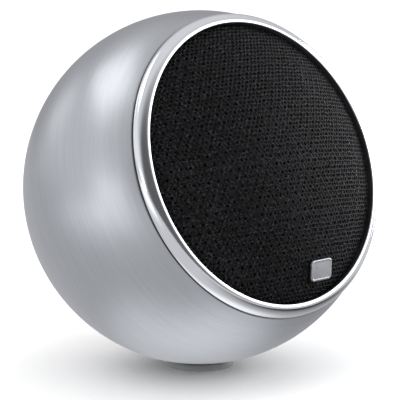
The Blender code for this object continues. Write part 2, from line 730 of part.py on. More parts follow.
# Tag strip under the lower window of the basket
strip_top = ledge_z + WINDOW_MARGIN + STRIP_LIFT
strip_bottom = strip_top - STRIP_HEIGHT
strip_inner = basket_outer_at(strip_top) + GAP
strip_outer = max(strip_inner + STRIP_THICK, PLATE_RADIUS + LEAD_STANDOFF)
tag_radius = strip_outer + GAP + TAG_THICK / 2
tag_high = strip_top + TAG_ABOVE_STRIP
tag_low = tag_high - TAG_LENGTH


def make_wiring():
    size = (STRIP_WIDTH, strip_outer - strip_inner, STRIP_HEIGHT)
    centre = (0, -(strip_inner + strip_outer) / 2, (strip_top + strip_bottom) / 2)
    strip = bpy.data.objects.new("tag_strip", box_mesh("tag_strip", size, centre))
    place(strip, PHENOLIC)
    for side, word, look in ((1, "pos", RED_PLASTIC), (-1, "neg", BLACK_PLASTIC)):
        x = side * STRIP_TAG_OFFSET
        size = (TAG_WIDTH, TAG_THICK, TAG_LENGTH)
        tag = box_mesh(f"strip_tag_{word}", size, (x, -tag_radius, (tag_high + tag_low) / 2))
        place(bpy.data.objects.new(f"strip_tag_{word}", tag), GOLD)
        make_tinsel(word, x)
        make_lead(word, x, side * POST_PITCH / 2, look)


def make_tinsel(word, x):
    """The flexible braid from the cone's back to its tag, with slack for the cone's travel."""
    r = coil_inner + TINSEL_PLACE * (roll_inner - coil_inner)
    back_z = cone_neck + TINSEL_PLACE * (cone_front - CONE_THICK - cone_neck)
    start = (x, -r, back_z - CONE_THICK - TINSEL_RADIUS - 2 * GAP)
    end = (x, -(tag_radius - TAG_THICK / 2 - GAP), tag_high - TINSEL_SINK)
    first = (x, start[1] - TINSEL_SAG, start[2] - TINSEL_SAG)
    second = (x, end[1] + TINSEL_SAG, end[2] + TINSEL_SAG / 4)
    wire(f"tinsel_{word}", bezier(start, first, second, end, 8), TINSEL_RADIUS, COPPER)


def make_lead(word, x, post_x, look):
    """The insulated lead: out from the strip's tag, down beside the magnet, and in to the terminal's tag."""
    widest = max(MAGNET_RADIUS, WADDING_RADIUS) + LEAD_STANDOFF
    out = max(tag_radius, widest)
    start = (x, -tag_radius, tag_low - GAP)
    shoulder = (x, -out, magnet_top)
    back = (x, -out, magnet_bottom)
    end = (post_x, -(NUT_RADIUS + TAG_LENGTH / 2), terminal_tag_z + TAG_THICK + GAP + LEAD_RADIUS)
    middle = (start[2] + shoulder[2]) / 2
    points = bezier(start, (x, -tag_radius, middle), (x, -out, middle), shoulder, 5)
    first = (x, -out - LEAD_BOW, (back[2] + end[2]) / 2)
    second = (post_x, -widest, end[2] + LEAD_RISE)
    points += bezier(back, first, second, end, 11)
    wire(f"lead_{word}", points, LEAD_RADIUS, look)


def make_wadding():
    """A soft pad with rounded edges behind the magnet."""
    front = yoke_bottom - WADDING_BEHIND_MAGNET
    round_edge = WADDING_THICK / 2
    middle = (WADDING_RADIUS - round_edge, front - round_edge)
    outline = [(0, front)] + arc(middle, round_edge, 90, -90, 6) + [(0, front - WADDING_THICK)]
    turned("damping_wadding", outline, WADDING, FINE_SHEET_STEPS)


def make_rear_panel():
    low = rear_gasket_z - REAR_GASKET_THICK
    inner = rear_hole + GAP
    gasket = tube("rear_gasket", inner, inner + REAR_GASKET_WIDTH, low, rear_gasket_z, RUBBER)
    outline = [
        (0, rear_plate_inner),
        (rear_plate_radius, rear_plate_inner),
        (rear_plate_radius, rear_plate_outer + EDGE_BREAK),
        (rear_plate_radius - EDGE_BREAK, rear_plate_outer),
        (0, rear_plate_outer),
    ]
    plate = turned("rear_plate", outline, BLACK_PLASTIC)
    through_plate = (rear_plate_outer - OVERSHOOT, rear_plate_inner + OVERSHOOT)
    through_gasket = (low - OVERSHOOT, rear_gasket_z + OVERSHOOT)
    for number, degrees in enumerate(rear_screw_angles, 1):
        at = polar(rear_screw_circle, degrees)
        drill(gasket, f"cut_rear_gasket_{number}", screw_hole, *through_gasket, at)
        drill(plate, f"cut_plate_{number}", screw_hole, *through_plate, at)
        countersink(plate, f"sink_plate_{number}", rear_plate_outer, 1, at)
        tip = rear_flat_z + SHELL_WALL + SCREW_TAIL
        countersunk_screw(f"rear_screw_{number}", rear_plate_outer, tip, at, ZINC_STEEL)
    for side, word in ((1, "pos"), (-1, "neg")):
        at = (side * POST_PITCH / 2, 0)
        drill(plate, f"cut_post_{word}", post_bore, *through_plate, at)
    drill(plate, "cut_insert", INSERT_RADIUS + GAP, *through_plate, (0, -INSERT_DOWN))


def make_insert():
    """The threaded brass bush for a stand or a wall bracket. Its flange stands on the panel."""
    face = rear_plate_outer - GAP
    outline = [
        (INSERT_BORE, face - INSERT_FLANGE_THICK),
        (INSERT_RADIUS + INSERT_FLANGE, face - INSERT_FLANGE_THICK),
        (INSERT_RADIUS + INSERT_FLANGE, face),
        (INSERT_RADIUS, face),
        (INSERT_RADIUS, face + INSERT_LENGTH),
        (INSERT_BORE, face + INSERT_LENGTH),
    ]
    turned("bracket_insert", outline, GOLD, SMALL_STEPS, at=(0, -INSERT_DOWN))


def make_posts():
    """Two screw terminals. Each clamp washer rides in and out with its cap."""
    base_face = rear_plate_outer - GAP
    base_end = base_face - POST_BASE_HEIGHT
    washer_face = base_end - GAP
    washer_end = washer_face - POST_WASHER_THICK
    cap_face = washer_end - GAP
    cap_end = cap_face - POST_CAP_LENGTH
    stud_out = cap_end + POST_CAP_ROOF + GAP
    nut_low = terminal_tag_z + TAG_THICK + GAP
    nut_high = nut_low + NUT_HEIGHT
    stud_in = nut_high + GAP
    for side, word, look in ((1, "pos", RED_PLASTIC), (-1, "neg", BLACK_PLASTIC)):
        at = (side * POST_PITCH / 2, 0)
        stud = [(0, stud_in), (POST_STUD_RADIUS, stud_in), (POST_STUD_RADIUS, stud_out), (0, stud_out)]
        turned(f"post_stud_{word}", stud, GOLD, SCREW_STEPS, at=at)
        base = f"post_base_{word}"
        tube(base, post_bore, POST_BASE_RADIUS, base_end, base_face, look, SMALL_STEPS, at=at)
        washer = f"post_washer_{word}"
        tube(washer, post_bore, POST_WASHER_RADIUS, washer_end, washer_face, GOLD, SMALL_STEPS, at=at)
        make_cap(f"post_cap_{word}", cap_face, cap_end, look, at)
        make_terminal_tag(f"post_tag_{word}", at)
        name = f"post_nut_{word}"
        mesh = cone_mesh(name, NUT_RADIUS, NUT_RADIUS, nut_low, nut_high, NUT_SIDES)
        nut = bpy.data.objects.new(name, mesh)
        place(nut, ZINC_STEEL, at=at)
        drill(nut, f"cut_nut_{word}", post_bore, nut_low - OVERSHOOT, nut_high + OVERSHOOT, at)


def make_cap(name, face, end, look, at):
    """A knob with a blind bore: from the bore's roof, down the bore and round the outside to the axis."""
    outline = [
        (0, end + POST_CAP_ROOF),
        (post_bore, end + POST_CAP_ROOF),
        (post_bore, face),
        (POST_CAP_RADIUS, face),
        (POST_CAP_RADIUS, end + EDGE_BREAK),
        (POST_CAP_RADIUS - EDGE_BREAK, end),
        (0, end),
    ]
    turned(name, outline, look, SMALL_STEPS, at=at)


def make_terminal_tag(name, at):
    """A solder tag: an eye under the nut, and a tail towards the lead."""
    low = terminal_tag_z
    high = low + TAG_THICK
    tag = tube(name, post_bore, NUT_RADIUS, low, high, GOLD, SMALL_STEPS, at=at)
    centre = (0, TAG_OVERLAP - NUT_RADIUS - TAG_LENGTH / 2, (low + high) / 2)
    mesh = box_mesh(f"tail_{name}", (TAG_WIDTH, TAG_LENGTH, TAG_THICK), centre)
    boolean(tag, cutter(f"tail_{name}", mesh, at=at), "UNION")


make_foot()
make_shell()
make_front_ring()
make_sockets()
make_front_screws()
make_mounting_ring()
make_grille()
make_badge()
make_basket()
make_driver_gasket()
make_motor()
make_moving_assembly()
make_suspension()
make_wiring()
make_wadding()
make_rear_panel()
make_insert()
make_posts()
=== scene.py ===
"""Looks of the ball loudspeaker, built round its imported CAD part. Metres, +Z up, the front faces -Y.

Pieces are drawn in the ball's own frame: +Z is the driver's axis, +X the listener's right, +Y up the grille.
"""

import json
import math

import bmesh
import bpy
from mathutils import Matrix, Vector, noise


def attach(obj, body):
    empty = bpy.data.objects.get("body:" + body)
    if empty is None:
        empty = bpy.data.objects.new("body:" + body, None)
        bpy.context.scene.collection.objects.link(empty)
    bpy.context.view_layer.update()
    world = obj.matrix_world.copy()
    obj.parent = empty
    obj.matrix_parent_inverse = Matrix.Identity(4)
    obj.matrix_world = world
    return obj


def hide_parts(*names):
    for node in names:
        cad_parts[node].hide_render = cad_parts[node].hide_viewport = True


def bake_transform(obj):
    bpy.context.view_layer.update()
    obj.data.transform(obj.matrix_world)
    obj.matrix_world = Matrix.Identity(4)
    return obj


MM = 0.001

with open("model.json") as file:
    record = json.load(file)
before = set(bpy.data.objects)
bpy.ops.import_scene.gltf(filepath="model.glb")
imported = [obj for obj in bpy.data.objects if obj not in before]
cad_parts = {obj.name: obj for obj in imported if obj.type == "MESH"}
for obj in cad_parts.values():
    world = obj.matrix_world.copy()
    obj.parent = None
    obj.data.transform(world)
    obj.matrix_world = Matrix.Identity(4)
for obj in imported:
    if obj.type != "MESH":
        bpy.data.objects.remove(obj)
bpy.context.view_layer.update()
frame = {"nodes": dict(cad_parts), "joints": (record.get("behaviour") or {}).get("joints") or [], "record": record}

# The ball's frame, from the joints
JOINTS = {joint["name"]: joint for joint in frame["joints"]}
CENTRE = Vector(JOINTS["ball_tilt"]["pos_m"])
FORWARD = Vector(JOINTS["grille_pull"]["axis"])
SIDEWAYS = Vector((1, 0, 0))
TURN = Matrix((SIDEWAYS, FORWARD.cross(SIDEWAYS), FORWARD)).transposed().to_4x4()
BALL_FRAME = Matrix.Translation(CENTRE) @ TURN
TILT = math.asin(FORWARD.z)

# Sizes that the CAD part has too
BALL_RADIUS = 51.0 * MM
WALL = 1.2 * MM
GAP = 0.3 * MM
LIP = (43.7 * MM, 26.29 * MM)
BEAD = (40.75 * MM, 27.24 * MM)
BEAD_RADIUS = 2.8 * MM
RECESS = 40.2 * MM
FLANGE_TOP = 25.59 * MM
FLANGE_BOTTOM = 23.79 * MM
FLANGE_INNER = 35.8 * MM
FIXING_CIRCLE = 38.0 * MM
CLOTH_RADIUS = 39.9 * MM
DOME_RADIUS = 88.54 * MM
DOME_CENTRE = -50.45 * MM
CLOTH_THICK = 0.5 * MM
SCREEN_THICK = 0.8 * MM
GRILLE_BACK = FLANGE_TOP + GAP
RIM = (36.65 * MM, 39.1 * MM)
BASKET_TOP = 23.49 * MM
REAR_FLAT = 24.925 * MM
REAR_FLAT_Z = -44.49 * MM
REAR_HOLE = 15.525 * MM
PLATE_FACE = -48.19 * MM
PLATE_BACK = -45.69 * MM
PLATE_RADIUS = 21.225 * MM
REAR_SCREW_CIRCLE = 18.225 * MM
POST_OFFSET = 9.525 * MM
INSERT_DOWN = 9.5 * MM
SCREW_HEAD = 1.7 * MM
SCREW_BODY = 1.1 * MM
SCREW_DEPTH = 0.9 * MM
FOOT_RADIUS = 9.5 * MM

FINE = 256  # steps round the largest turned pieces
MEDIUM = 128
SMALL = 64


def polar(radius, degrees):
    angle = math.radians(degrees)
    return (radius * math.cos(angle), radius * math.sin(angle))


def arc(centre, radius, start, end, pieces):
    """Points (r, z) round centre, angles in degrees from +r towards +z."""
    points = []
    for i in range(pieces + 1):
        x, y = polar(radius, start + (end - start) * i / pieces)
        points.append((centre[0] + x, centre[1] + y))
    return points


def degrees_at(centre, point):
    return math.degrees(math.atan2(point[1] - centre[1], point[0] - centre[0]))


def on_sphere(radius, height):
    return math.sqrt(radius * radius - height * height)


# ---------------------------------------------------------------- materials


def shader_node(tree, kind, **values):
    """A node of that kind. A value whose name is one of its properties sets it, and any other is an input."""
    made = tree.nodes.new("ShaderNode" + kind)
    for name, value in values.items():
        if hasattr(made, name):
            setattr(made, name, value)
            continue
        socket = made.inputs[int(name[1:])] if name[0] == "i" and name[1:].isdigit() else made.inputs[name.replace("_", " ")]
        if isinstance(value, bpy.types.NodeSocket):
            tree.links.new(value, socket)
        else:
            socket.default_value = value
    return made


def calculate(tree, operation, a, b=0.0, c=0.0):
    return shader_node(tree, "Math", operation=operation, i0=a, i1=b, i2=c).outputs[0]


def row_coordinates(tree):
    return shader_node(tree, "TexCoord").outputs["Object"]


def ball_coordinates(tree):
    """(unit x, unit y, distance from the driver's axis, height along it) of a point, for marks that run round the axis.
    """
    shifted = shader_node(tree, "VectorMath", operation="SUBTRACT", i0=row_coordinates(tree), i1=tuple(CENTRE)).outputs[0]
    turned = shader_node(tree, "VectorRotate", rotation_type="X_AXIS", Vector=shifted, Angle=TILT - math.pi / 2)
    split = shader_node(tree, "SeparateXYZ", i0=turned.outputs[0])
    x, y, z = split.outputs
    radius = calculate(tree, "SQRT", calculate(tree, "ADD", calculate(tree, "MULTIPLY", x, x), calculate(tree, "MULTIPLY", y, y)))
    safe = calculate(tree, "MAXIMUM", radius, 0.1 * MM)
    return calculate(tree, "DIVIDE", x, safe), calculate(tree, "DIVIDE", y, safe), radius, z


def streaks(tree, along, across, length, detail=2.0):
    """Noise drawn out round the driver's axis: across is the coordinate over the streaks, length their stretch."""
    unit_x, unit_y, radius, z = along
    where = shader_node(
        tree,
        "CombineXYZ",
        i0=calculate(tree, "MULTIPLY", unit_x, length),
        i1=calculate(tree, "MULTIPLY", unit_y, length),
        i2=across,
    )
    return shader_node(tree, "TexNoise", Vector=where.outputs[0], Scale=1.0, Detail=detail, Roughness=0.6).outputs["Fac"]


def spots(tree, scale, detail=3.0, vector=None, roughness=0.55):
    where = vector or row_coordinates(tree)
    return shader_node(tree, "TexNoise", Vector=where, Scale=scale, Detail=detail, Roughness=roughness).outputs["Fac"]


def between(tree, share, low, high):
    """share, a noise from about 0.3 to 0.7, spread over low to high."""
    made = shader_node(tree, "MapRange", i0=share, i1=0.3, i2=0.7, i3=low, i4=high)
    return made.outputs[0]


def mixed(tree, share, colour_a, colour_b):
    made = shader_node(tree, "Mix", data_type="RGBA")
    tree.links.new(share, made.inputs[0])
    for number, colour in ((6, colour_a), (7, colour_b)):
        if isinstance(colour, bpy.types.NodeSocket):
            tree.links.new(colour, made.inputs[number])
        else:
            made.inputs[number].default_value = (*colour, 1.0)
    return made.outputs[2]


def new_material(name, **constants):
    """A material with a Principled shader, whose constant inputs are set on its own sockets."""
    made = bpy.data.materials.new(name)
    made.use_nodes = True
    shader = made.node_tree.nodes["Principled BSDF"]
    for key, value in constants.items():
        shader.inputs[key.replace("_", " ")].default_value = value
    return made, made.node_tree, shader


def bumped(tree, shader, height, distance, strength=1.0, under=None):
    values = {"Height": height, "Distance": distance, "Strength": strength}
    if under is not None:
        values["Normal"] = under
    bump = shader_node(tree, "Bump", **values)
    tree.links.new(bump.outputs[0], shader.inputs["Normal"])
    return bump.outputs[0]


def edge_worn(tree, colour, bare, amount):
    """The colour, rubbed to another along outward edges, more in some places than in others."""
    point = shader_node(tree, "NewGeometry").outputs["Pointiness"]
    edge = shader_node(tree, "MapRange", i0=point, i1=0.52, i2=0.60, i3=0.0, i4=amount)
    patchy = between(tree, spots(tree, 700.0, 3.0), 0.25, 1.0)
    return mixed(tree, calculate(tree, "MULTIPLY", edge.outputs[0], patchy), colour, bare)


def steel_material():
    """Brushed steel: fine lines round the driver's axis, with slow changes in shade from the brushing."""
    made, tree, shader = new_material("brushed_steel", Metallic=1.0, Anisotropic=0.62)
    along = ball_coordinates(tree)
    angle = calculate(tree, "ARCTAN2", along[2], along[3])
    fine = streaks(tree, along, calculate(tree, "MULTIPLY", angle, 420.0), 5.0, 3.0)
    broad = streaks(tree, along, calculate(tree, "MULTIPLY", angle, 70.0), 2.2, 2.0)
    patches = spots(tree, 22.0, 2.0)
    base = mixed(tree, between(tree, broad, 0.0, 1.0), (0.525, 0.535, 0.555), (0.585, 0.595, 0.615))
    tone = mixed(tree, between(tree, patches, 0.0, 0.35), base, (0.47, 0.48, 0.51))
    lined = mixed(tree, between(tree, fine, 0.0, 0.30), tone, (0.42, 0.43, 0.45))
    tree.links.new(edge_worn(tree, lined, (0.74, 0.75, 0.77), 0.7), shader.inputs["Base Color"])
    tree.links.new(between(tree, fine, 0.28, 0.37), shader.inputs["Roughness"])
    bumped(tree, shader, fine, 0.006 * MM, 0.5)
    tangent = shader_node(tree, "Tangent", direction_type="UV_MAP", uv_map="turned")
    tree.links.new(tangent.outputs[0], shader.inputs["Tangent"])
    return made


def ring_material():
    """Turned and polished aluminium, with the last faint lines of the tool."""
    made, tree, shader = new_material("polished_aluminium", Metallic=1.0, Anisotropic=0.25)
    along = ball_coordinates(tree)
    across = calculate(tree, "MULTIPLY", calculate(tree, "ADD", along[2], along[3]), 9000.0)
    lines = streaks(tree, along, across, 3.0, 3.0)
    haze = spots(tree, 60.0, 3.0)
    base = mixed(tree, between(tree, haze, 0.0, 1.0), (0.90, 0.91, 0.93), (0.95, 0.955, 0.97))
    tree.links.new(mixed(tree, between(tree, lines, 0.0, 0.15), base, (0.66, 0.67, 0.70)), shader.inputs["Base Color"])
    tree.links.new(between(tree, lines, 0.10, 0.17), shader.inputs["Roughness"])
    bumped(tree, shader, lines, 0.004 * MM, 0.35)
    tangent = shader_node(tree, "Tangent", direction_type="UV_MAP", uv_map="turned")
    tree.links.new(tangent.outputs[0], shader.inputs["Tangent"])
    return made


def metal_material(name, light, dark, rough, grain=900.0, depth=0.01):
    """Plated or machined metal with fine scratches and a little tarnish."""
    made, tree, shader = new_material(name, Metallic=1.0)
    fine = spots(tree, grain, 4.0)
    broad = spots(tree, grain / 12, 2.0)
    tone = mixed(tree, between(tree, broad, 0.0, 1.0), light, dark)
    bare = tuple(min(0.95, 1.2 * share) for share in light)
    tree.links.new(edge_worn(tree, tone, bare, 0.8), shader.inputs["Base Color"])
    tree.links.new(between(tree, fine, rough - 0.06, rough + 0.10), shader.inputs["Roughness"])
    bumped(tree, shader, fine, depth * MM, 0.4)
    return made


def plastic_material(name, light, dark, rough, grain=2600.0, depth=0.03, **constants):
    """Moulded plastic or rubber with a fine eroded texture and slightly uneven gloss."""
    made, tree, shader = new_material(name, **constants)
    fine = spots(tree, grain, 3.0)
    broad = spots(tree, grain / 30, 2.0)
    tone = mixed(tree, between(tree, broad, 0.0, 1.0), light, dark)
    bare = tuple(min(0.95, 1.3 * share + 0.02) for share in light)
    tree.links.new(edge_worn(tree, tone, bare, 0.7), shader.inputs["Base Color"])
    tree.links.new(between(tree, broad, rough - 0.05, rough + 0.06), shader.inputs["Roughness"])
    bumped(tree, shader, fine, depth * MM, 0.5)
    return made


def cloth_material():
    """Black knitted yarn: twisted fibres, dark in the mass, with paler specks scattered over it as a painted highlight
    for light on the threads' crowns.
    """
    made, tree, shader = new_material(
        "black_yarn", Sheen_Weight=0.02, Sheen_Roughness=0.4, Specular_IOR_Level=0.16
    )
    fibre = spots(tree, 5200.0, 4.0, None, 0.65)
    glint_noise = spots(tree, 1500.0, 2.0)
    patch = spots(tree, 90.0, 3.0)
    mass = mixed(tree, between(tree, fibre, 0.0, 1.0), (0.001, 0.001, 0.0015), (0.005, 0.005, 0.007))
    tone = mixed(tree, between(tree, patch, 0.0, 0.6), mass, (0.004, 0.0035, 0.0035))
    # Painted highlight: paler specks that stand in for light catching the threads
    painted_glints = shader_node(tree, "MapRange", i0=glint_noise, i1=0.52, i2=0.72, i3=0.0, i4=0.9)
    tree.links.new(mixed(tree, painted_glints.outputs[0], tone, (0.036, 0.038, 0.046)), shader.inputs["Base Color"])
    tree.links.new(between(tree, fibre, 0.36, 0.60), shader.inputs["Roughness"])
    bumped(tree, shader, fibre, 0.12 * MM, 1.0)
    return made


def paper_material(name, light, dark):
    """Pressed paper with long fibres."""
    made, tree, shader = new_material(name)
    fibres = shader_node(tree, "TexVoronoi", feature="DISTANCE_TO_EDGE", Vector=row_coordinates(tree), Scale=900.0)
    pulp = spots(tree, 1500.0, 5.0)
    tree.links.new(mixed(tree, between(tree, pulp, 0.0, 1.0), light, dark), shader.inputs["Base Color"])
    tree.links.new(between(tree, pulp, 0.72, 0.92), shader.inputs["Roughness"])
    first = bumped(tree, shader, fibres.outputs[0], 0.05 * MM, 0.4)
    bumped(tree, shader, pulp, 0.05 * MM, 0.6, first)
    return made


def woven_material(name, light, dark, pitch, soft=0.9):
    """Plain woven cloth: over and under threads from two crossed waves."""
    made, tree, shader = new_material(name, Sheen_Weight=0.3, Sheen_Roughness=0.5)
    where = row_coordinates(tree)
    heights = []
    for direction in ("X", "Z"):
        wave = shader_node(
            tree, "TexWave", bands_direction=direction, Vector=where, Scale=1.0 / (pitch * math.tau) * 2.0, Distortion=0.6
        )
        heights.append(wave.outputs["Fac"])
    weave = calculate(tree, "MULTIPLY", *heights)
    fuzz = spots(tree, 3000.0, 3.0)
    tree.links.new(mixed(tree, weave, dark, light), shader.inputs["Base Color"])
    tree.links.new(between(tree, fuzz, soft - 0.08, soft + 0.06), shader.inputs["Roughness"])
    first = bumped(tree, shader, weave, pitch / 3, 0.8)
    bumped(tree, shader, fuzz, 0.03 * MM, 0.5, first)
    return made


def foam_material():
    made, tree, shader = new_material("black_foam", Sheen_Weight=0.2, Sheen_Roughness=0.6)
    cells = shader_node(tree, "TexVoronoi", Vector=row_coordinates(tree), Scale=2600.0).outputs["Distance"]
    broad = spots(tree, 200.0, 3.0)
    tree.links.new(mixed(tree, between(tree, broad, 0.0, 1.0), (0.014, 0.014, 0.014), (0.032, 0.031, 0.030)), shader.inputs["Base Color"])
    tree.links.new(between(tree, broad, 0.80, 0.95), shader.inputs["Roughness"])
    bumped(tree, shader, cells, 0.10 * MM, 0.8)
    return made


def wadding_material():
    made, tree, shader = new_material("white_wadding", Sheen_Weight=0.6, Sheen_Roughness=0.5)
    tangle = spots(tree, 700.0, 6.0, None, 0.7)
    tree.links.new(mixed(tree, between(tree, tangle, 0.0, 1.0), (0.80, 0.79, 0.76), (0.55, 0.54, 0.50)), shader.inputs["Base Color"])
    tree.links.new(between(tree, tangle, 0.85, 0.98), shader.inputs["Roughness"])
    bumped(tree, shader, tangle, 0.6 * MM, 1.0)
    return made


def winding_material():
    """Enamelled wire wound side by side round the driver's axis."""
    made, tree, shader = new_material("enamelled_winding", Metallic=1.0, Coat_Weight=0.6, Coat_Roughness=0.2)
    along = ball_coordinates(tree)
    turns = calculate(tree, "SINE", calculate(tree, "MULTIPLY", along[3], math.tau / (0.22 * MM)))
    wear = spots(tree, 500.0, 2.0)
    tree.links.new(mixed(tree, between(tree, wear, 0.0, 1.0), (0.72, 0.30, 0.14), (0.52, 0.20, 0.09)), shader.inputs["Base Color"])
    tree.links.new(between(tree, wear, 0.25, 0.40), shader.inputs["Roughness"])
    bumped(tree, shader, turns, 0.06 * MM, 1.0)
    return made


def braid_material():
    """Flexible copper braid: thin strands that cross."""
    made, tree, shader = new_material("copper_braid", Metallic=1.0)
    strands = shader_node(tree, "TexVoronoi", Vector=row_coordinates(tree), Scale=4200.0).outputs["Distance"]
    wear = spots(tree, 600.0, 2.0)
    tree.links.new(mixed(tree, between(tree, wear, 0.0, 1.0), (0.78, 0.38, 0.20), (0.55, 0.22, 0.10)), shader.inputs["Base Color"])
    tree.links.new(between(tree, wear, 0.28, 0.45), shader.inputs["Roughness"])
    bumped(tree, shader, strands, 0.08 * MM, 0.8)
    return made


LOOKS = {
    "ball_steel": steel_material(),
    "trim_ring": ring_material(),
    "badge_metal": metal_material("satin_badge", (0.86, 0.86, 0.88), (0.74, 0.74, 0.78), 0.30, 1500.0, 0.006),
    "grille_cloth": cloth_material(),
    "black_metal": plastic_material("black_paint", (0.016, 0.016, 0.018), (0.028, 0.028, 0.030), 0.48, 1800.0, 0.02, Coat_Weight=0.15),
    "black_plastic": plastic_material("black_plastic", (0.018, 0.018, 0.020), (0.030, 0.030, 0.033), 0.42),
    "red_plastic": plastic_material("red_plastic", (0.50, 0.022, 0.020), (0.36, 0.014, 0.014), 0.36),
    "rubber": plastic_material("black_rubber", (0.022, 0.022, 0.023), (0.035, 0.034, 0.034), 0.74, 1600.0, 0.05),
    # Painted shade: the foot pad's grey is the tone of the shadow under the ball, so the pad passes for that shadow
    "silicone": plastic_material("shadow_grey_silicone", (0.36, 0.36, 0.37), (0.29, 0.29, 0.30), 0.48, 900.0, 0.02, Transmission_Weight=0.25, IOR=1.41),
    "zinc_steel": metal_material("zinc_steel", (0.62, 0.63, 0.65), (0.50, 0.50, 0.50), 0.30),
    "ferrite": plastic_material("ferrite", (0.045, 0.044, 0.046), (0.075, 0.073, 0.073), 0.62, 1200.0, 0.05),
    "cone_paper": paper_material("cone_paper", (0.030, 0.030, 0.032), (0.052, 0.051, 0.053)),
    "surround_foam": foam_material(),
    "spider_cloth": woven_material("spider_cloth", (0.62, 0.42, 0.18), (0.34, 0.21, 0.08), 0.5 * MM),
    "copper": winding_material(),
    "film": plastic_material("former_film", (0.55, 0.27, 0.05), (0.44, 0.20, 0.03), 0.32, 500.0, 0.01, Coat_Weight=0.3),
    "gold_plate": metal_material("gold_plate", (0.83, 0.62, 0.25), (0.70, 0.50, 0.19), 0.22),
    "wadding": wadding_material(),
    "phenolic": woven_material("phenolic_board", (0.24, 0.12, 0.05), (0.15, 0.07, 0.03), 0.6 * MM, 0.55),
}
BRAID = braid_material()
SLOTS = {part["node"]: part["material_slot"] for part in frame["record"]["subparts"]}


def dress_cad_nodes():
    """The detailed material of its slot on every node that stays as the CAD part has it."""
    for name, obj in frame["nodes"].items():
        obj.data.materials.clear()
        obj.data.materials.append(BRAID if name.startswith("tinsel") else LOOKS[SLOTS[name]])


# ---------------------------------------------------------------- pieces


def finish_piece(obj, body, node, look=None, replaces=()):
    """Gives a new piece its look, the one of its node's slot unless another is given, and makes it stand for its node
    and ride on its body.
    """
    slot = SLOTS[node]
    obj.data.materials.append(look or LOOKS[slot])
    if body:
        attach(obj, body)
    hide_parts(node, *replaces)
    return obj


def piece_from(name, solid, smooth=35.0):
    """An object from a bmesh in the row frame, with soft shading and crisp edges past that angle."""
    mesh = bpy.data.meshes.new(name)
    solid.to_mesh(mesh)
    solid.free()
    mesh.shade_smooth()
    mesh.set_sharp_from_angle(angle=math.radians(smooth))
    obj = bpy.data.objects.new(name, mesh)
    bpy.context.scene.collection.objects.link(obj)
    return obj


def even_shading(obj):
    weighted = obj.modifiers.new("even_shading", "WEIGHTED_NORMAL")
    weighted.keep_sharp = True
    return obj


def soften(outline, radius, pieces=4, closed=True):
    """Rounds each real corner of an outline. A corner that an arc already smooths is left."""
    count = len(outline)
    points = []
    for i, corner in enumerate(outline):
        here = Vector(corner)
        if not closed and i in (0, count - 1):
            points.append(corner)
            continue
        before = Vector(outline[i - 1]) - here
        after = Vector(outline[(i + 1) % count]) - here
        if before.length < 1e-9 or after.length < 1e-9 or before.angle(after) > math.radians(155):
            points.append(corner)
            continue
        start = here + before.normalized() * min(radius, before.length * 0.45)
        end = here + after.normalized() * min(radius, after.length * 0.45)
        for step in range(pieces + 1):
            t = step / pieces
            point = start * (1 - t) ** 2 + here * 2 * t * (1 - t) + end * t * t
            points.append((point.x, point.y))
    return points


def turned_mesh(outline, steps, at=(0, 0), matrix=None, closed=True, ripple=None):
    """A turned solid from (r, z) points, as a bmesh in the row frame, with a UV map that runs round it.

    ripple(r, z, angle) gives the radius of a point of the outer wall, for knurls and the like."""
    matrix = matrix or BALL_FRAME @ Matrix.Translation((*at, 0))
    solid = bmesh.new()
    uv = solid.loops.layers.uv.new("turned")
    rows = []
    for r, z in outline:
        if r <= 0:
            rows.append([solid.verts.new(matrix @ Vector((0, 0, z)))] * steps)
            continue
        row = []
        for step in range(steps):
            angle = math.tau * step / steps
            reach = ripple(r, z, angle) if ripple else r
            point = Vector((reach * math.cos(angle), reach * math.sin(angle), z))
            row.append(solid.verts.new(matrix @ point))
        rows.append(row)
    widest = max(r for r, z in outline)
    heights = [0.0]
    for a, b in zip(outline, outline[1:]):
        heights.append(heights[-1] + (Vector(b) - Vector(a)).length)
    pairs = list(zip(range(len(rows) - 1), range(1, len(rows))))
    if closed and outline[0][0] > 0 and outline[-1][0] > 0:
        pairs.append((len(rows) - 1, 0))
    for low, high in pairs:
        v = (heights[low], heights[high] if high else heights[low] + MM)
        for step in range(steps):
            after = (step + 1) % steps
            corners = (
                (rows[low][step], step, v[0]),
                (rows[low][after], step + 1, v[0]),
                (rows[high][after], step + 1, v[1]),
                (rows[high][step], step, v[1]),
            )
            seen, kept = set(), []
            for corner in corners:
                if corner[0] not in seen:
                    seen.add(corner[0])
                    kept.append(corner)
            if len(kept) < 3:
                continue
            face = solid.faces.new([corner[0] for corner in kept])
            for loop, (_, turn, height) in zip(face.loops, kept):
                loop[uv].uv = (turn / steps * math.tau * widest, height)
    bmesh.ops.recalc_face_normals(solid, faces=solid.faces)
    return solid


def turned_piece(name, outline, steps=MEDIUM, round_edges=0.0, at=(0, 0), ripple=None, matrix=None, smooth=35.0):
    closed = outline[0][0] > 0
    if round_edges:
        outline = soften(outline, round_edges, closed=closed)
    return even_shading(piece_from(name, turned_mesh(outline, steps, at, matrix, True, ripple), smooth))


def sheet_outline(path, thickness):
    """The closed outline of a thin turned wall whose middle is the path."""
    sides = ([], [])
    for i, point in enumerate(path):
        before = Vector(path[max(i - 1, 0)])
        after = Vector(path[min(i + 1, len(path) - 1)])
        along = (after - before).normalized()
        across = Vector((-along.y, along.x)) * thickness / 2
        sides[0].append(tuple(Vector(point) + across))
        sides[1].append(tuple(Vector(point) - across))
    return sides[0] + sides[1][::-1]


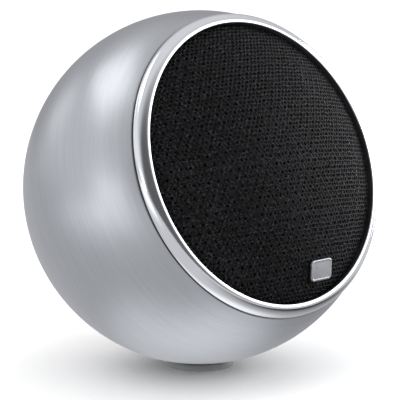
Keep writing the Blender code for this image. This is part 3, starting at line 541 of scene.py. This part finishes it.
def cut(obj, cutters):
    """Takes the cutters, bmeshes in the row frame, out of the piece for good."""
    for number, solid in enumerate(cutters):
        mesh = bpy.data.meshes.new(f"cutter_{number}")
        solid.to_mesh(mesh)
        solid.free()
        tool = bpy.data.objects.new(f"cutter_{number}", mesh)
        bpy.context.scene.collection.objects.link(tool)
        hole = obj.modifiers.new("cut", "BOOLEAN")
        hole.operation = "DIFFERENCE"
        hole.solver = "EXACT"
        hole.object = tool
        obj.modifiers.move(len(obj.modifiers) - 1, 0)
        graph = bpy.context.evaluated_depsgraph_get()
        weighted = [m.name for m in obj.modifiers if m.type == "WEIGHTED_NORMAL"]
        for name in weighted:
            obj.modifiers[name].show_viewport = False
        graph.update()
        result = bpy.data.meshes.new_from_object(obj.evaluated_get(graph))
        obj.modifiers.remove(hole)
        for name in weighted:
            obj.modifiers[name].show_viewport = True
        obj.data = result
        bpy.data.objects.remove(tool)
    return obj


def bar(radius, low, high, at, steps=32, flare=None):
    """A round cutter from low to high, wider at one end where flare gives (radius, level)."""
    outline = [(0, high), (radius, high), (radius, low), (0, low)]
    if flare:
        wide, level, past = flare
        outline = [(0, past), (wide, past), (wide, level), (radius, level - (wide - radius)), (radius, low), (0, low)]
        if past < level:
            outline = [(0, past), (wide, past), (wide, level), (radius, level + (wide - radius)), (radius, high), (0, high)]
    return turned_mesh(outline, steps, at)


def make_shell():
    front = degrees_at((0, 0), LIP)
    rear = degrees_at((0, 0), (REAR_FLAT, REAR_FLAT_Z))
    inner = BALL_RADIUS - WALL
    inner_flat = REAR_FLAT_Z + WALL
    inner_rear = degrees_at((0, 0), (on_sphere(inner, inner_flat), inner_flat))
    inner_front = degrees_at((0, 0), (on_sphere(inner, LIP[1]), LIP[1]))
    outline = arc((0, 0), BALL_RADIUS, front, rear, 110)
    outline += [(REAR_HOLE, REAR_FLAT_Z), (REAR_HOLE, inner_flat)]
    outline += arc((0, 0), inner, inner_rear, inner_front, 40)
    shell = turned_piece("ball_shell", soften(outline, 0.22 * MM), FINE)
    finish_piece(shell, "ball", "housing_shell")


def make_ring():
    """Trim ring: the bead, the recess wall and the flange, with its screw seats and its sockets' holes."""
    flank = BEAD[0] + on_sphere(BEAD_RADIUS, LIP[1] + GAP - BEAD[1])
    start = degrees_at(BEAD, (flank, LIP[1] + GAP))
    stop = RECESS + 0.2 * MM
    stop_z = BEAD[1] + on_sphere(BEAD_RADIUS, stop - BEAD[0])
    outline = arc(BEAD, BEAD_RADIUS, start, degrees_at(BEAD, (stop, stop_z)), 40)
    spigot = on_sphere(BALL_RADIUS - WALL, LIP[1]) - GAP
    outline += [
        (RECESS, stop_z - 0.2 * MM),
        (RECESS, FLANGE_TOP),
        (FLANGE_INNER, FLANGE_TOP),
        (FLANGE_INNER, FLANGE_BOTTOM),
        (spigot, FLANGE_BOTTOM),
        (spigot, LIP[1] + GAP),
    ]
    ring = turned_piece("trim_ring", soften(outline, 0.12 * MM, 2), FINE)
    tools = []
    for degrees in (45, 135, 225, 315):
        flare = (SCREW_HEAD + 0.1 * MM, FLANGE_TOP, FLANGE_TOP + MM)
        tools.append(bar(SCREW_BODY + 0.1 * MM, FLANGE_BOTTOM - MM, 0, polar(FIXING_CIRCLE, degrees), 32, flare))
    for degrees in (90, 210, 330):
        tools.append(bar(2.0 * MM, FLANGE_BOTTOM - MM, FLANGE_TOP + MM, polar(FIXING_CIRCLE, degrees)))
    finish_piece(cut(ring, tools), "ball", "front_ring")
    # Painted shade: the recess wall round the cloth and the faces under the lip take the black paint, so the deep
    # recess reads dark
    ring.data.materials.append(LOOKS["black_metal"])
    back = BALL_FRAME.inverted()
    for face in ring.data.polygons:
        place = back @ face.center
        in_recess = math.hypot(place.x, place.y) < RECESS + 0.03 * MM
        if in_recess or place.z < LIP[1] - 0.2 * MM:
            face.material_index = 1


def slot_cutter(face, way, at, across):
    """One of the two tapered bars of a screw's cross recess. way is -1 where the screw points to -Z."""
    wide, narrow, half = 1.05 * MM, 0.55 * MM, 0.2 * MM
    solid = bmesh.new()
    matrix = BALL_FRAME @ Matrix.Translation((*at, 0))
    corners = []
    for level, reach in ((face - way * 0.3 * MM, wide), (face + way * 0.65 * MM, narrow)):
        for x, y in ((reach, half), (-reach, half), (-reach, -half), (reach, -half)):
            point = (y, x, level) if across else (x, y, level)
            corners.append(solid.verts.new(matrix @ Vector(point)))
    for loop in ((0, 1, 2, 3), (4, 5, 6, 7), (0, 1, 5, 4), (1, 2, 6, 5), (2, 3, 7, 6), (3, 0, 4, 7)):
        solid.faces.new([corners[i] for i in loop])
    bmesh.ops.recalc_face_normals(solid, faces=solid.faces)
    return solid


def make_screw(name, node, face, tip, at):
    """A countersunk screw with a cross recess and a ribbed thread."""
    way = math.copysign(1, tip - face)
    outline = [(0, face), (SCREW_HEAD, face), (SCREW_HEAD, face + way * 0.12 * MM), (SCREW_BODY, face + way * SCREW_DEPTH)]
    level = face + way * (SCREW_DEPTH + 0.3 * MM)
    pitch = 0.45 * MM
    while abs(tip - level) > 2 * pitch:
        outline += [(SCREW_BODY, level), (SCREW_BODY - 0.18 * MM, level + way * pitch / 2)]
        level += way * pitch
    outline += [(SCREW_BODY * 0.8, tip - way * 0.4 * MM), (SCREW_BODY * 0.4, tip), (0, tip)]
    screw = turned_piece(name, outline, 32, 0.0, at)
    recess = [slot_cutter(face, way, at, across) for across in (False, True)]
    finish_piece(cut(screw, recess), "ball", node)


def make_screws():
    mount_bottom = 18.49 * MM
    for number, degrees in enumerate((45, 135, 225, 315), 1):
        name = f"front_screw_{number}"
        make_screw(f"fixing_{name}", name, FLANGE_TOP, mount_bottom - 0.6 * MM, polar(FIXING_CIRCLE, degrees))
    for number, degrees in enumerate((90, 210, 330), 1):
        name = f"rear_screw_{number}"
        tip = REAR_FLAT_Z + WALL + 0.6 * MM
        make_screw(f"fixing_{name}", name, PLATE_FACE, tip, polar(REAR_SCREW_CIRCLE, degrees))


def make_sockets():
    """Rubber cups that hold the grille's pins, with a rolled lip."""
    for number, degrees in enumerate((90, 210, 330), 1):
        at = polar(FIXING_CIRCLE, degrees)
        inner, outer = 1.15 * MM, 1.7 * MM
        outline = [(outer, FLANGE_TOP), (outer, FLANGE_BOTTOM), (inner, FLANGE_BOTTOM), (inner, FLANGE_TOP)]
        cup = turned_piece(f"pin_cup_{number}", outline, 48, 0.22 * MM, at)
        finish_piece(cup, "ball", f"grille_socket_{number}")


def dome_level(radius, reach):
    return DOME_CENTRE + on_sphere(radius, reach)


def on_grille(distance, skin):
    """(r, z, outward r, outward z) at that distance along the grille's curve, over the dome and down the skirt."""
    half = math.asin(CLOTH_RADIUS / DOME_RADIUS)
    along = distance / DOME_RADIUS
    if along < half:
        out, up = math.sin(along), math.cos(along)
        radius = DOME_RADIUS - skin
        return radius * out, DOME_CENTRE + radius * up, out, up
    down = distance - half * DOME_RADIUS
    edge = dome_level(DOME_RADIUS - skin, CLOTH_RADIUS)
    return CLOTH_RADIUS - skin, edge - down, 1.0, 0.0


def net(name, pitch, reach, rings, skin, wander, lift=0.0):
    """A net of six-sided cells, each with a hole, laid on the grille's curve out to that distance from its apex.

    rings are (share of the way from the cell's edge to its centre, height) from the crown of the thread to the hole.
    wander moves the points, for a soft knit, and lift raises the knots where three threads meet."""
    solid = bmesh.new()
    uv = solid.loops.layers.uv.new("turned")
    edge_points = {}
    unit = pitch / 12

    def moved(x, y):
        shift = noise.noise_vector(Vector((x, y, 0)) / (pitch * 1.2)) * wander
        x, y = x + shift.x, y + shift.y
        far = math.hypot(x, y)
        if far > reach:
            x, y = x * reach / far, y * reach / far
        return x, y

    def lay(x, y, height):
        distance = math.hypot(x, y)
        r, z, out, up = on_grille(distance, skin)
        side = (x / distance, y / distance) if distance > 1e-9 else (1.0, 0.0)
        r += out * height
        return solid.verts.new(BALL_FRAME @ Vector((r * side[0], r * side[1], z + up * height)))

    def shared(x, y, height, level):
        key = (round(x / unit), round(y / unit), level)
        if key not in edge_points:
            flat = moved(x, y)
            edge_points[key] = (flat, lay(*flat, height))
        return edge_points[key]

    rows = int(reach / pitch) + 2
    for i in range(-2 * rows, 2 * rows + 1):
        for j in range(-2 * rows, 2 * rows + 1):
            x, y = pitch * (i + j / 2), pitch * j * math.sqrt(3) / 2
            if math.hypot(x, y) > reach - 0.35 * pitch:
                continue
            centre = moved(x, y)
            outline = []
            for k in range(6):
                angle = math.radians(30 + 60 * k)
                after = math.radians(90 + 60 * k)
                size = pitch / math.sqrt(3)
                corner = (x + size * math.cos(angle), y + size * math.sin(angle))
                other = (x + size * math.cos(after), y + size * math.sin(after))
                outline.append((corner, lift))
                outline.append((((corner[0] + other[0]) / 2, (corner[1] + other[1]) / 2), 0.0))
            previous = None
            for level, (share, height) in enumerate(rings):
                loop = []
                for k, (point, knot) in enumerate(outline):
                    if share == 0:
                        loop.append(shared(*point, height + knot, level))
                        continue
                    edge = moved(*point)
                    round_share = share * (1.0 if k % 2 else 1.0 + 0.12 * share)
                    flat = (
                        edge[0] + (centre[0] - edge[0]) * round_share,
                        edge[1] + (centre[1] - edge[1]) * round_share,
                    )
                    loop.append((flat, lay(*flat, height + knot * (1 - share))))
                if previous:
                    for k in range(12):
                        after = (k + 1) % 12
                        corners = (previous[k], previous[after], loop[after], loop[k])
                        if len({corner[1] for corner in corners}) < 4:
                            continue
                        face = solid.faces.new([corner[1] for corner in corners])
                        for turn, corner in zip(face.loops, corners):
                            turn[uv].uv = corner[0]
                previous = loop
    return piece_from(name, solid, 180.0)


CLOTH_REACH = DOME_RADIUS * math.asin(CLOTH_RADIUS / DOME_RADIUS) + 2.6 * MM


def make_grille():
    knit = ((0.0, 0.0), (0.24, -0.07 * MM), (0.42, -0.28 * MM))
    cloth = net("knit_cloth", 1.40 * MM, CLOTH_REACH, knit, 0.08 * MM, 0.34 * MM, 0.06 * MM)
    finish_piece(cloth, "grille", "grille_cloth")
    skin = CLOTH_THICK + GAP
    holes = ((0.0, 0.0), (0.36, 0.0), (0.36, -SCREEN_THICK), (0.0, -SCREEN_THICK))
    reach = DOME_RADIUS * math.asin(RIM[1] / DOME_RADIUS)
    screen = net("perforated_screen", 2.6 * MM, reach, holes, skin, 0.0)
    screen.data.set_sharp_from_angle(angle=math.radians(40))
    finish_piece(screen, "grille", "grille_screen")
    top = DOME_RADIUS - CLOTH_THICK - GAP - SCREEN_THICK - GAP
    outline = [(r, dome_level(top, r)) for r in RIM]
    outline += [(RIM[1], GRILLE_BACK), (RIM[0], GRILLE_BACK)]
    rim = turned_mesh(soften(outline, 0.25 * MM), FINE)
    for degrees in (90, 210, 330):
        add_pin(rim, polar(FIXING_CIRCLE, degrees))
    finish_piece(even_shading(piece_from("grille_frame", rim)), "grille", "grille_rim")


def add_pin(solid, at):
    """A split pin with a rounded tip, joined to the grille's frame."""
    tip = FLANGE_BOTTOM + GAP
    radius = 0.85 * MM
    outline = [(0, GRILLE_BACK + 0.5 * MM), (radius, GRILLE_BACK + 0.5 * MM), (radius, tip + 0.5 * MM)]
    outline += [(radius * 0.9, tip + 0.15 * MM), (radius * 0.55, tip), (0, tip)]
    pin = turned_mesh(outline, 24, at)
    mesh = bpy.data.meshes.new("pin")
    pin.to_mesh(mesh)
    pin.free()
    solid.from_mesh(mesh)


def rounded_rectangle(width, height, corner, pieces=8):
    points = []
    for quarter, (sx, sy) in enumerate(((1, 1), (-1, 1), (-1, -1), (1, -1))):
        centre = (sx * (width / 2 - corner), sy * (height / 2 - corner))
        points += arc(centre, corner, 90 * quarter, 90 * quarter + 90, pieces)
    return points


def make_badge():
    """A blank satin plate with a raised border round a sunk field, one gap in front of the cloth."""
    width, height, corner, thick = 8.5 * MM, 6.0 * MM, 1.2 * MM, 0.7 * MM
    off_axis = CLOTH_RADIUS - 6.7 * MM
    sideways = polar(off_axis, -75.7)
    outward = Vector((*sideways, on_sphere(DOME_RADIUS, off_axis))).normalized()
    across = Vector((1, 0, 0))
    up = outward.cross(across).normalized()
    across = up.cross(outward)
    centre = Vector((0, 0, DOME_CENTRE)) + outward * (DOME_RADIUS + GAP + thick / 2)
    turn = Matrix((across, up, outward)).transposed().to_4x4()
    matrix = BALL_FRAME @ Matrix.Translation(centre) @ turn
    half = thick / 2
    levels = (
        (0.0, -half),
        (0.0, half - 0.22 * MM),
        (0.07 * MM, half - 0.07 * MM),
        (0.22 * MM, half),
        (0.50 * MM, half),
        (0.58 * MM, half - 0.05 * MM),
        (0.64 * MM, half - 0.14 * MM),
        (0.80 * MM, half - 0.16 * MM),
    )
    solid = bmesh.new()
    loops = []
    for inset, level in levels:
        outline = rounded_rectangle(width - 2 * inset, height - 2 * inset, corner - inset)
        loops.append([solid.verts.new(matrix @ Vector((x, y, level))) for x, y in outline])
    for low, high in zip(loops, loops[1:]):
        for i in range(len(low)):
            after = (i + 1) % len(low)
            solid.faces.new((low[i], low[after], high[after], high[i]))
    solid.faces.new(loops[-1])
    solid.faces.new(loops[0][::-1])
    bmesh.ops.recalc_face_normals(solid, faces=solid.faces)
    finish_piece(even_shading(piece_from("blank_badge", solid)), "grille", "badge")


def make_rear_panel():
    edge = 0.6 * MM
    outline = [
        (0, PLATE_BACK),
        (PLATE_RADIUS, PLATE_BACK),
        (PLATE_RADIUS, PLATE_FACE + edge),
        (PLATE_RADIUS - edge, PLATE_FACE),
        (PLATE_RADIUS - 1.0 * MM, PLATE_FACE),
        (0, PLATE_FACE),
    ]
    plate = turned_piece("rear_panel", outline, FINE, 0.3 * MM)
    tools = []
    for degrees in (90, 210, 330):
        flare = (SCREW_HEAD + 0.12 * MM, PLATE_FACE, PLATE_FACE - MM)
        tools.append(bar(SCREW_BODY + 0.1 * MM, 0, PLATE_BACK + MM, polar(REAR_SCREW_CIRCLE, degrees), 32, flare))
    for side in (-1, 1):
        tools.append(bar(2.1 * MM, PLATE_FACE - MM, PLATE_BACK + MM, (side * POST_OFFSET, 0), 48))
    tools.append(bar(4.2 * MM, PLATE_FACE - MM, PLATE_BACK + MM, (0, -INSERT_DOWN), 48))
    finish_piece(cut(plate, tools), "ball", "rear_plate")


def ribbed(radius, depth, start, end, pitch):
    """Points up and down a thread's ridges between two levels."""
    count = max(1, round(abs(end - start) / pitch))
    points = []
    for i in range(count):
        level = start + (end - start) * i / count
        points += [(radius, level), (radius - depth, level + (end - start) / count / 2)]
    return points + [(radius, end)]


def make_insert():
    """The brass bush for a stand or bracket, with its thread showing in the bore."""
    face = PLATE_FACE - GAP
    bore, outer, flange = 2.5 * MM, 4.0 * MM, 4.9 * MM
    front = face - 0.8 * MM
    back = face + 8.0 * MM
    outline = [(bore + 0.35 * MM, front), (flange, front), (flange, face), (outer, face), (outer, back), (bore, back)]
    outline += ribbed(bore, -0.3 * MM, back - 0.2 * MM, front + 0.5 * MM, 0.8 * MM)
    finish_piece(turned_piece("bracket_bush", soften(outline, 0.15 * MM), SMALL, 0.0, (0, -INSERT_DOWN)), "ball", "bracket_insert")


def knurl(count, depth, low, high, least):
    """Grooves along a knob's wall between two levels, faded out at their ends."""

    def reach(r, z, angle):
        if r < least or not low < z < high:
            return r
        fade = min(1.0, (z - low) / (0.5 * MM), (high - z) / (0.5 * MM))
        wave = 0.5 - 0.5 * math.cos(count * angle)
        return r - depth * fade * wave**1.5

    return reach


def make_posts():
    base_face = PLATE_FACE - GAP
    base_end = base_face - 2.5 * MM
    washer_face = base_end - GAP
    washer_end = washer_face - 0.8 * MM
    cap_face = washer_end - GAP
    cap_end = cap_face - 8.6 * MM
    bore, radius = 2.2 * MM, 4.8 * MM
    stud_in = PLATE_BACK + GAP + 0.5 * MM + GAP + 2.4 * MM + GAP
    for side, word in ((1, "pos"), (-1, "neg")):
        at = (side * POST_OFFSET, 0)
        base = [(bore, base_end), (4.6 * MM, base_end), (4.6 * MM, base_face), (bore, base_face)]
        finish_piece(turned_piece(f"collar_{word}", base, MEDIUM, 0.3 * MM, at), "ball", f"post_base_{word}")
        washer = [(bore, washer_end), (4.2 * MM, washer_end), (4.2 * MM, washer_face), (bore, washer_face)]
        finish_piece(turned_piece(f"clamp_washer_{word}", washer, MEDIUM, 0.18 * MM, at), f"washer_{word}", f"post_washer_{word}")
        stud_out = cap_end + 1.6 * MM + GAP
        stud = [(0, stud_in), (1.6 * MM, stud_in)] + ribbed(1.9 * MM, 0.22 * MM, stud_in - 0.4 * MM, stud_out, 0.7 * MM) + [(0, stud_out)]
        finish_piece(turned_piece(f"threaded_stud_{word}", stud, SMALL, 0.0, at), "ball", f"post_stud_{word}")
        wall = [(radius, cap_face - 8.1 * MM * i / 24) for i in range(25)]
        cap = [(0, cap_end + 1.6 * MM), (bore, cap_end + 1.6 * MM), (bore, cap_face), (radius - 0.3 * MM, cap_face)] + wall
        cap += [(radius - 0.2 * MM, cap_end + 0.15 * MM), (radius - 0.6 * MM, cap_end), (3.4 * MM, cap_end)]
        cap += [(3.2 * MM, cap_end + 0.35 * MM), (0, cap_end + 0.35 * MM)]
        ripple = knurl(30, 0.32 * MM, cap_end + 0.9 * MM, cap_face - 1.2 * MM, radius - 0.01 * MM)
        knob = turned_piece(f"knurled_cap_{word}", soften(cap, 0.12 * MM, 3, False), 240, 0.0, at, ripple, None, 50.0)
        finish_piece(knob, f"cap_{word}", f"post_cap_{word}")


def make_driver():
    """The driver's front, which shows when the grille is off: cone, dust cap, surround and spider."""
    basket_inner, surround_outer, roll = 33.2 * MM, 35.5 * MM, 2.3 * MM
    roll_inner = basket_inner - 2 * roll
    cone_front = BASKET_TOP + 1.1 * MM
    neck = (9.9 * MM, 15.19 * MM)
    edge = (roll_inner - GAP, cone_front - 0.3 * MM)
    belly = ((neck[0] + edge[0]) / 2, (neck[1] + edge[1]) / 2 - 0.3 * MM)
    path = []
    for i in range(33):
        t = i / 32
        pull = Vector(belly) * 2 - (Vector(neck) + Vector(edge)) / 2
        point = Vector(edge) * (1 - t) ** 2 + pull * 2 * t * (1 - t) + Vector(neck) * t * t
        path.append((point.x, point.y))
    cone = turned_piece("paper_cone", soften(sheet_outline(path, 0.6 * MM), 0.15 * MM), 192)
    finish_piece(cone, "cone_unit", "cone")
    cap_radius, rise = 11.2 * MM, 3.4 * MM
    slope = (belly[1] - neck[1]) / (belly[0] - neck[0])
    edge_z = neck[1] + slope * (cap_radius - neck[0]) + 0.3 * MM * math.hypot(1, slope) + GAP + 0.5 * MM
    radius = (cap_radius**2 + rise**2) / (2 * rise)
    centre = (0, edge_z + rise - radius)
    outer = arc(centre, radius + 0.25 * MM, 90, degrees_at(centre, (cap_radius, edge_z)), 24)
    inner = arc(centre, radius - 0.25 * MM, degrees_at(centre, (cap_radius, edge_z)), 90, 24)
    outer[0] = (0, outer[0][1])
    inner[-1] = (0, inner[-1][1])
    cap = turned_piece("domed_dust_cap", soften(outer + inner, 0.1 * MM, 3, False), 128)
    finish_piece(cap, "cone_unit", "dust_cap")
    inner_z = cone_front + GAP + 0.25 * MM
    outer_z = BASKET_TOP + GAP + 0.25 * MM
    path = [(surround_outer, outer_z)]
    for i in range(25):
        angle = math.pi * i / 24
        level = outer_z + (inner_z - outer_z) * i / 24
        path.append(((roll_inner + basket_inner) / 2 + roll * math.cos(angle), level + roll * math.sin(angle)))
    path.append((roll_inner - 2.0 * MM, inner_z))
    surround = turned_piece("foam_surround", sheet_outline(soften(path, 0.5 * MM, 4, False), 0.5 * MM), 192)
    finish_piece(surround, None, "surround")
    flex(surround)
    ledge = 12.19 * MM
    foot = ledge + GAP + 0.2 * MM + 0.6 * MM
    start, stop = 20.6 * MM, 9.9 * MM
    path = [(23.2 * MM, foot - 0.6 * MM), (start, foot - 0.6 * MM)]
    for i in range(1, 73):
        r = start + (stop - start) * i / 72
        fade = min(1.0, i / 12, (72 - i) / 12)
        wave = math.sin(math.tau * 2.5 * i / 72 + math.pi / 2)
        path.append((r, foot - 0.6 * MM * wave * fade - 0.6 * MM * (1 - min(1.0, i / 12))))
    spider = turned_piece("woven_spider", sheet_outline(path, 0.4 * MM), 160)
    finish_piece(spider, None, "spider")
    flex(spider)


def flex(piece):
    """Bakes a suspension's place into its mesh."""
    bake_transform(piece)


def make_tinsels():
    """The two flexible leads: the CAD wires' own shape, copied."""
    for word in ("pos", "neg"):
        node = frame["nodes"][f"tinsel_{word}"]
        piece = bpy.data.objects.new(f"braided_tinsel_{word}", node.data.copy())
        bpy.context.scene.collection.objects.link(piece)
        piece.data.materials.clear()
        piece.data.shade_smooth()
        finish_piece(piece, None, f"tinsel_{word}", BRAID)
        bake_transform(piece)


def make_wadding():
    """A disc of polyester wadding behind the magnet, swollen unevenly between its pressed faces."""
    front = -12.21 * MM
    thick, radius = 17.0 * MM, 23.0 * MM
    round_edge = thick / 2
    outline = [(0, front)]
    outline += [(radius - round_edge) * i / 8 and ((radius - round_edge) * i / 8, front) or None for i in range(1, 8)]
    outline += arc((radius - round_edge, front - round_edge), round_edge, 90, -90, 20)
    outline += [((radius - round_edge) * (8 - i) / 8, front - thick) for i in range(1, 8)]
    outline += [(0, front - thick)]
    pad = piece_from("polyester_wadding", turned_mesh(outline, 96), 180.0)
    middle = BALL_FRAME @ Vector((0, 0, front - thick / 2))
    for vertex in pad.data.vertices:
        away = vertex.co - middle
        tuft = noise.fractal(vertex.co / (6 * MM), 0.7, 2.0, 4)
        vertex.co = middle + away * (0.96 + 0.035 * tuft)
    finish_piece(pad, "ball", "damping_wadding")


def make_foot():
    """A dished silicone pad with a softened lip."""
    seat = BALL_RADIUS + GAP
    rim = FOOT_RADIUS - 0.5 * MM
    centre = (0, CENTRE.z)
    rim_angle = degrees_at(centre, (rim, centre[1] - on_sphere(seat, rim)))
    outline = arc(centre, seat, -90, rim_angle, 16)
    outline[0] = (0, centre[1] - seat)
    top = outline[-1][1]
    outline += [(FOOT_RADIUS, top), (FOOT_RADIUS + 0.4 * MM, 0.25 * MM), (FOOT_RADIUS + 0.2 * MM, 0)]
    outline += [(6.5 * MM, 0), (6.3 * MM, 0.2 * MM), (0, 0.2 * MM)]
    pad = turned_piece("silicone_foot", soften(outline, 0.15 * MM, 3, False), MEDIUM, 0.0, (0, 0), None, Matrix.Identity(4))
    finish_piece(pad, "foot", "foot_pad")


# ---------------------------------------------------------------- studio


def lit_patch(tree, total, value, start, stop, amount):
    """Adds amount to a brightness where value has passed from start to stop."""
    ease = shader_node(
        tree, "MapRange", interpolation_type="SMOOTHSTEP", i0=value, i1=start, i2=stop, i3=0.0, i4=amount
    )
    return calculate(tree, "ADD", total, ease.outputs[0])


def seen_in_gloss(tree, plain, brightness):
    """A background of one plain white, or of a soft grey of that brightness in what shiny surfaces mirror."""
    tint = shader_node(tree, "VectorMath", operation="SCALE", i0=(0.97, 0.985, 1.02), Scale=brightness)
    path = shader_node(tree, "LightPath")
    return mixed(tree, path.outputs["Is Glossy Ray"], plain, tint.outputs[0])


def make_floor():
    """A pale floor. Shiny surfaces see a painted reflection instead: the floor glows for glossy rays only, evenly, with
    three brighter patches and one darker one.
    """
    made, tree, shader = new_material("studio_floor", Roughness=0.9)
    shade = mixed(tree, between(tree, spots(tree, 3.0, 2.0), 0.0, 1.0), (0.93, 0.93, 0.93), (0.95, 0.95, 0.95))
    tree.links.new(shade, shader.inputs["Base Color"])
    total = 0.60
    for right, front, radius, amount in ((-20, 30, 34, 0.40), (10, 36, 32, 0.50), (120, 45, 130, -0.62), (-330, 190, 280, 1.60)):
        middle = (from_camera(right, 0, 0) + level_front() * front) * MM
        away = shader_node(tree, "VectorMath", operation="DISTANCE", i0=row_coordinates(tree), i1=tuple(middle))
        total = lit_patch(tree, total, away.outputs["Value"], radius * MM, 0.0, amount)
    # Painted reflection: the glow that glossy rays see in place of the lit floor, with its patches
    painted_reflection = shader_node(tree, "Emission", Color=seen_in_gloss(tree, (0.0, 0.0, 0.0), total), Strength=1.0)
    path = shader_node(tree, "LightPath")
    straight = calculate(tree, "LESS_THAN", path.outputs["Diffuse Depth"], 0.5)
    both = shader_node(tree, "MixShader", i0=calculate(tree, "MULTIPLY", path.outputs["Is Glossy Ray"], straight))
    tree.links.new(shader.outputs[0], both.inputs[1])
    tree.links.new(painted_reflection.outputs[0], both.inputs[2])
    tree.links.new(both.outputs[0], tree.nodes["Material Output"].inputs["Surface"])
    made.cycles.emission_sampling = "NONE"
    solid = bmesh.new()
    bmesh.ops.create_circle(solid, cap_ends=True, segments=64, radius=12.0)
    floor = piece_from("studio_floor", solid)
    floor.data.materials.append(made)


def make_world():
    """White paper all round. Shiny surfaces see it darker in front and behind, and brighter at both sides."""
    world = bpy.data.worlds.new("studio")
    world.use_nodes = True
    tree = world.node_tree
    direction = shader_node(tree, "TexCoord").outputs["Generated"]
    total = 0.55
    for axis, start, stop, amount in (
        ((-1, 0, 0), 0.50, 0.95, 0.30),
        ((0.93, 0.36, 0.12), 0.945, 0.995, 1.20),
        ((0, 1, 0), 0.50, 0.95, 0.15),
        ((0.30, 0.05, 0.95), 0.40, 0.85, -0.44),
        ((0, 0, -1), 0.60, 0.95, -0.14),
    ):
        toward = tuple(from_camera(*axis))
        facing = shader_node(tree, "VectorMath", operation="DOT_PRODUCT", i0=direction, i1=toward)
        total = lit_patch(tree, total, facing.outputs["Value"], start, stop, amount)
    height = shader_node(tree, "SeparateXYZ", i0=direction).outputs[2]
    sky = shader_node(tree, "MapRange", i0=height, i1=0.0, i2=1.0, i3=0.85, i4=1.55)
    tree.links.new(seen_in_gloss(tree, sky.outputs[0], total), tree.nodes["Background"].inputs["Color"])
    world.cycles.sampling_method = "NONE"
    bpy.context.scene.world = world


def make_light(name, place, size, power, colour=(1, 1, 1)):
    data = bpy.data.lights.new(name, "AREA")
    data.shape = "RECTANGLE"
    data.size, data.size_y = size
    data.energy = power
    data.color = colour
    light = bpy.data.objects.new(name, data)
    light.location = place
    light.rotation_mode = "QUATERNION"
    light.rotation_quaternion = aim(light.location, CENTRE)
    bpy.context.scene.collection.objects.link(light)


def aim(place, target):
    return (target - Vector(place)).to_track_quat("-Z", "Y")


CAMERA_AZIMUTH = math.radians(-41.2)
CAMERA_HEIGHT = math.radians(8.0)
CAMERA_DISTANCE = 0.51


def from_camera(right, up, back):
    """A direction given as seen from the camera at the front view, in the row frame."""
    a, e = CAMERA_AZIMUTH, CAMERA_HEIGHT
    axis = Vector((math.sin(a) * math.cos(e), -math.cos(a) * math.cos(e), math.sin(e)))
    side = Vector((math.cos(a), math.sin(a), 0))
    return side * right + axis.cross(side) * up + axis * back


def level_front():
    """The level direction from the ball towards the camera."""
    return Vector((math.sin(CAMERA_AZIMUTH), -math.cos(CAMERA_AZIMUTH), 0))


def make_lights():
    """Softboxes: name, direction as seen from the camera, width and height, and brightness."""
    for name, direction, size, brightness in (
        ("key", (-0.64, 0.77, -0.08), (0.60, 0.32), 1.35),
        ("low_left", (-0.76, 0.44, -0.48), (0.28, 0.26), 0.5),
        ("left_panel", (-0.84, -0.03, 0.55), (0.36, 0.13), 1.4),
        ("right_strip", (0.93, 0.36, 0.12), (0.10, 0.50), 2.0),
        ("right_back", (0.80, 0.30, -0.52), (0.25, 0.50), 7.5),
    ):
        place = CENTRE + from_camera(*direction).normalized() * 0.9
        make_light(name, place, size, brightness * size[0] * size[1] * math.pi)


def make_camera():
    data = bpy.data.cameras.new("camera")
    data.lens = 158.6
    data.sensor_width = 36.0
    data.shift_y = -0.032
    data.clip_start = 0.01
    data.clip_end = 30.0
    camera = bpy.data.objects.new("camera", data)
    camera.location = CENTRE + from_camera(0, 0, 1) * CAMERA_DISTANCE
    camera.rotation_mode = "QUATERNION"
    camera.rotation_quaternion = aim(camera.location, CENTRE)
    bpy.context.scene.collection.objects.link(camera)
    bpy.context.scene.camera = camera


def main():
    dress_cad_nodes()
    make_camera()
    make_floor()
    make_world()
    make_lights()
    make_shell()
    make_ring()
    make_screws()
    make_sockets()
    make_grille()
    make_badge()
    make_rear_panel()
    make_insert()
    make_posts()
    make_driver()
    make_tinsels()
    make_wadding()
    make_foot()
    bpy.context.scene.view_settings.view_transform = "Standard"


main()
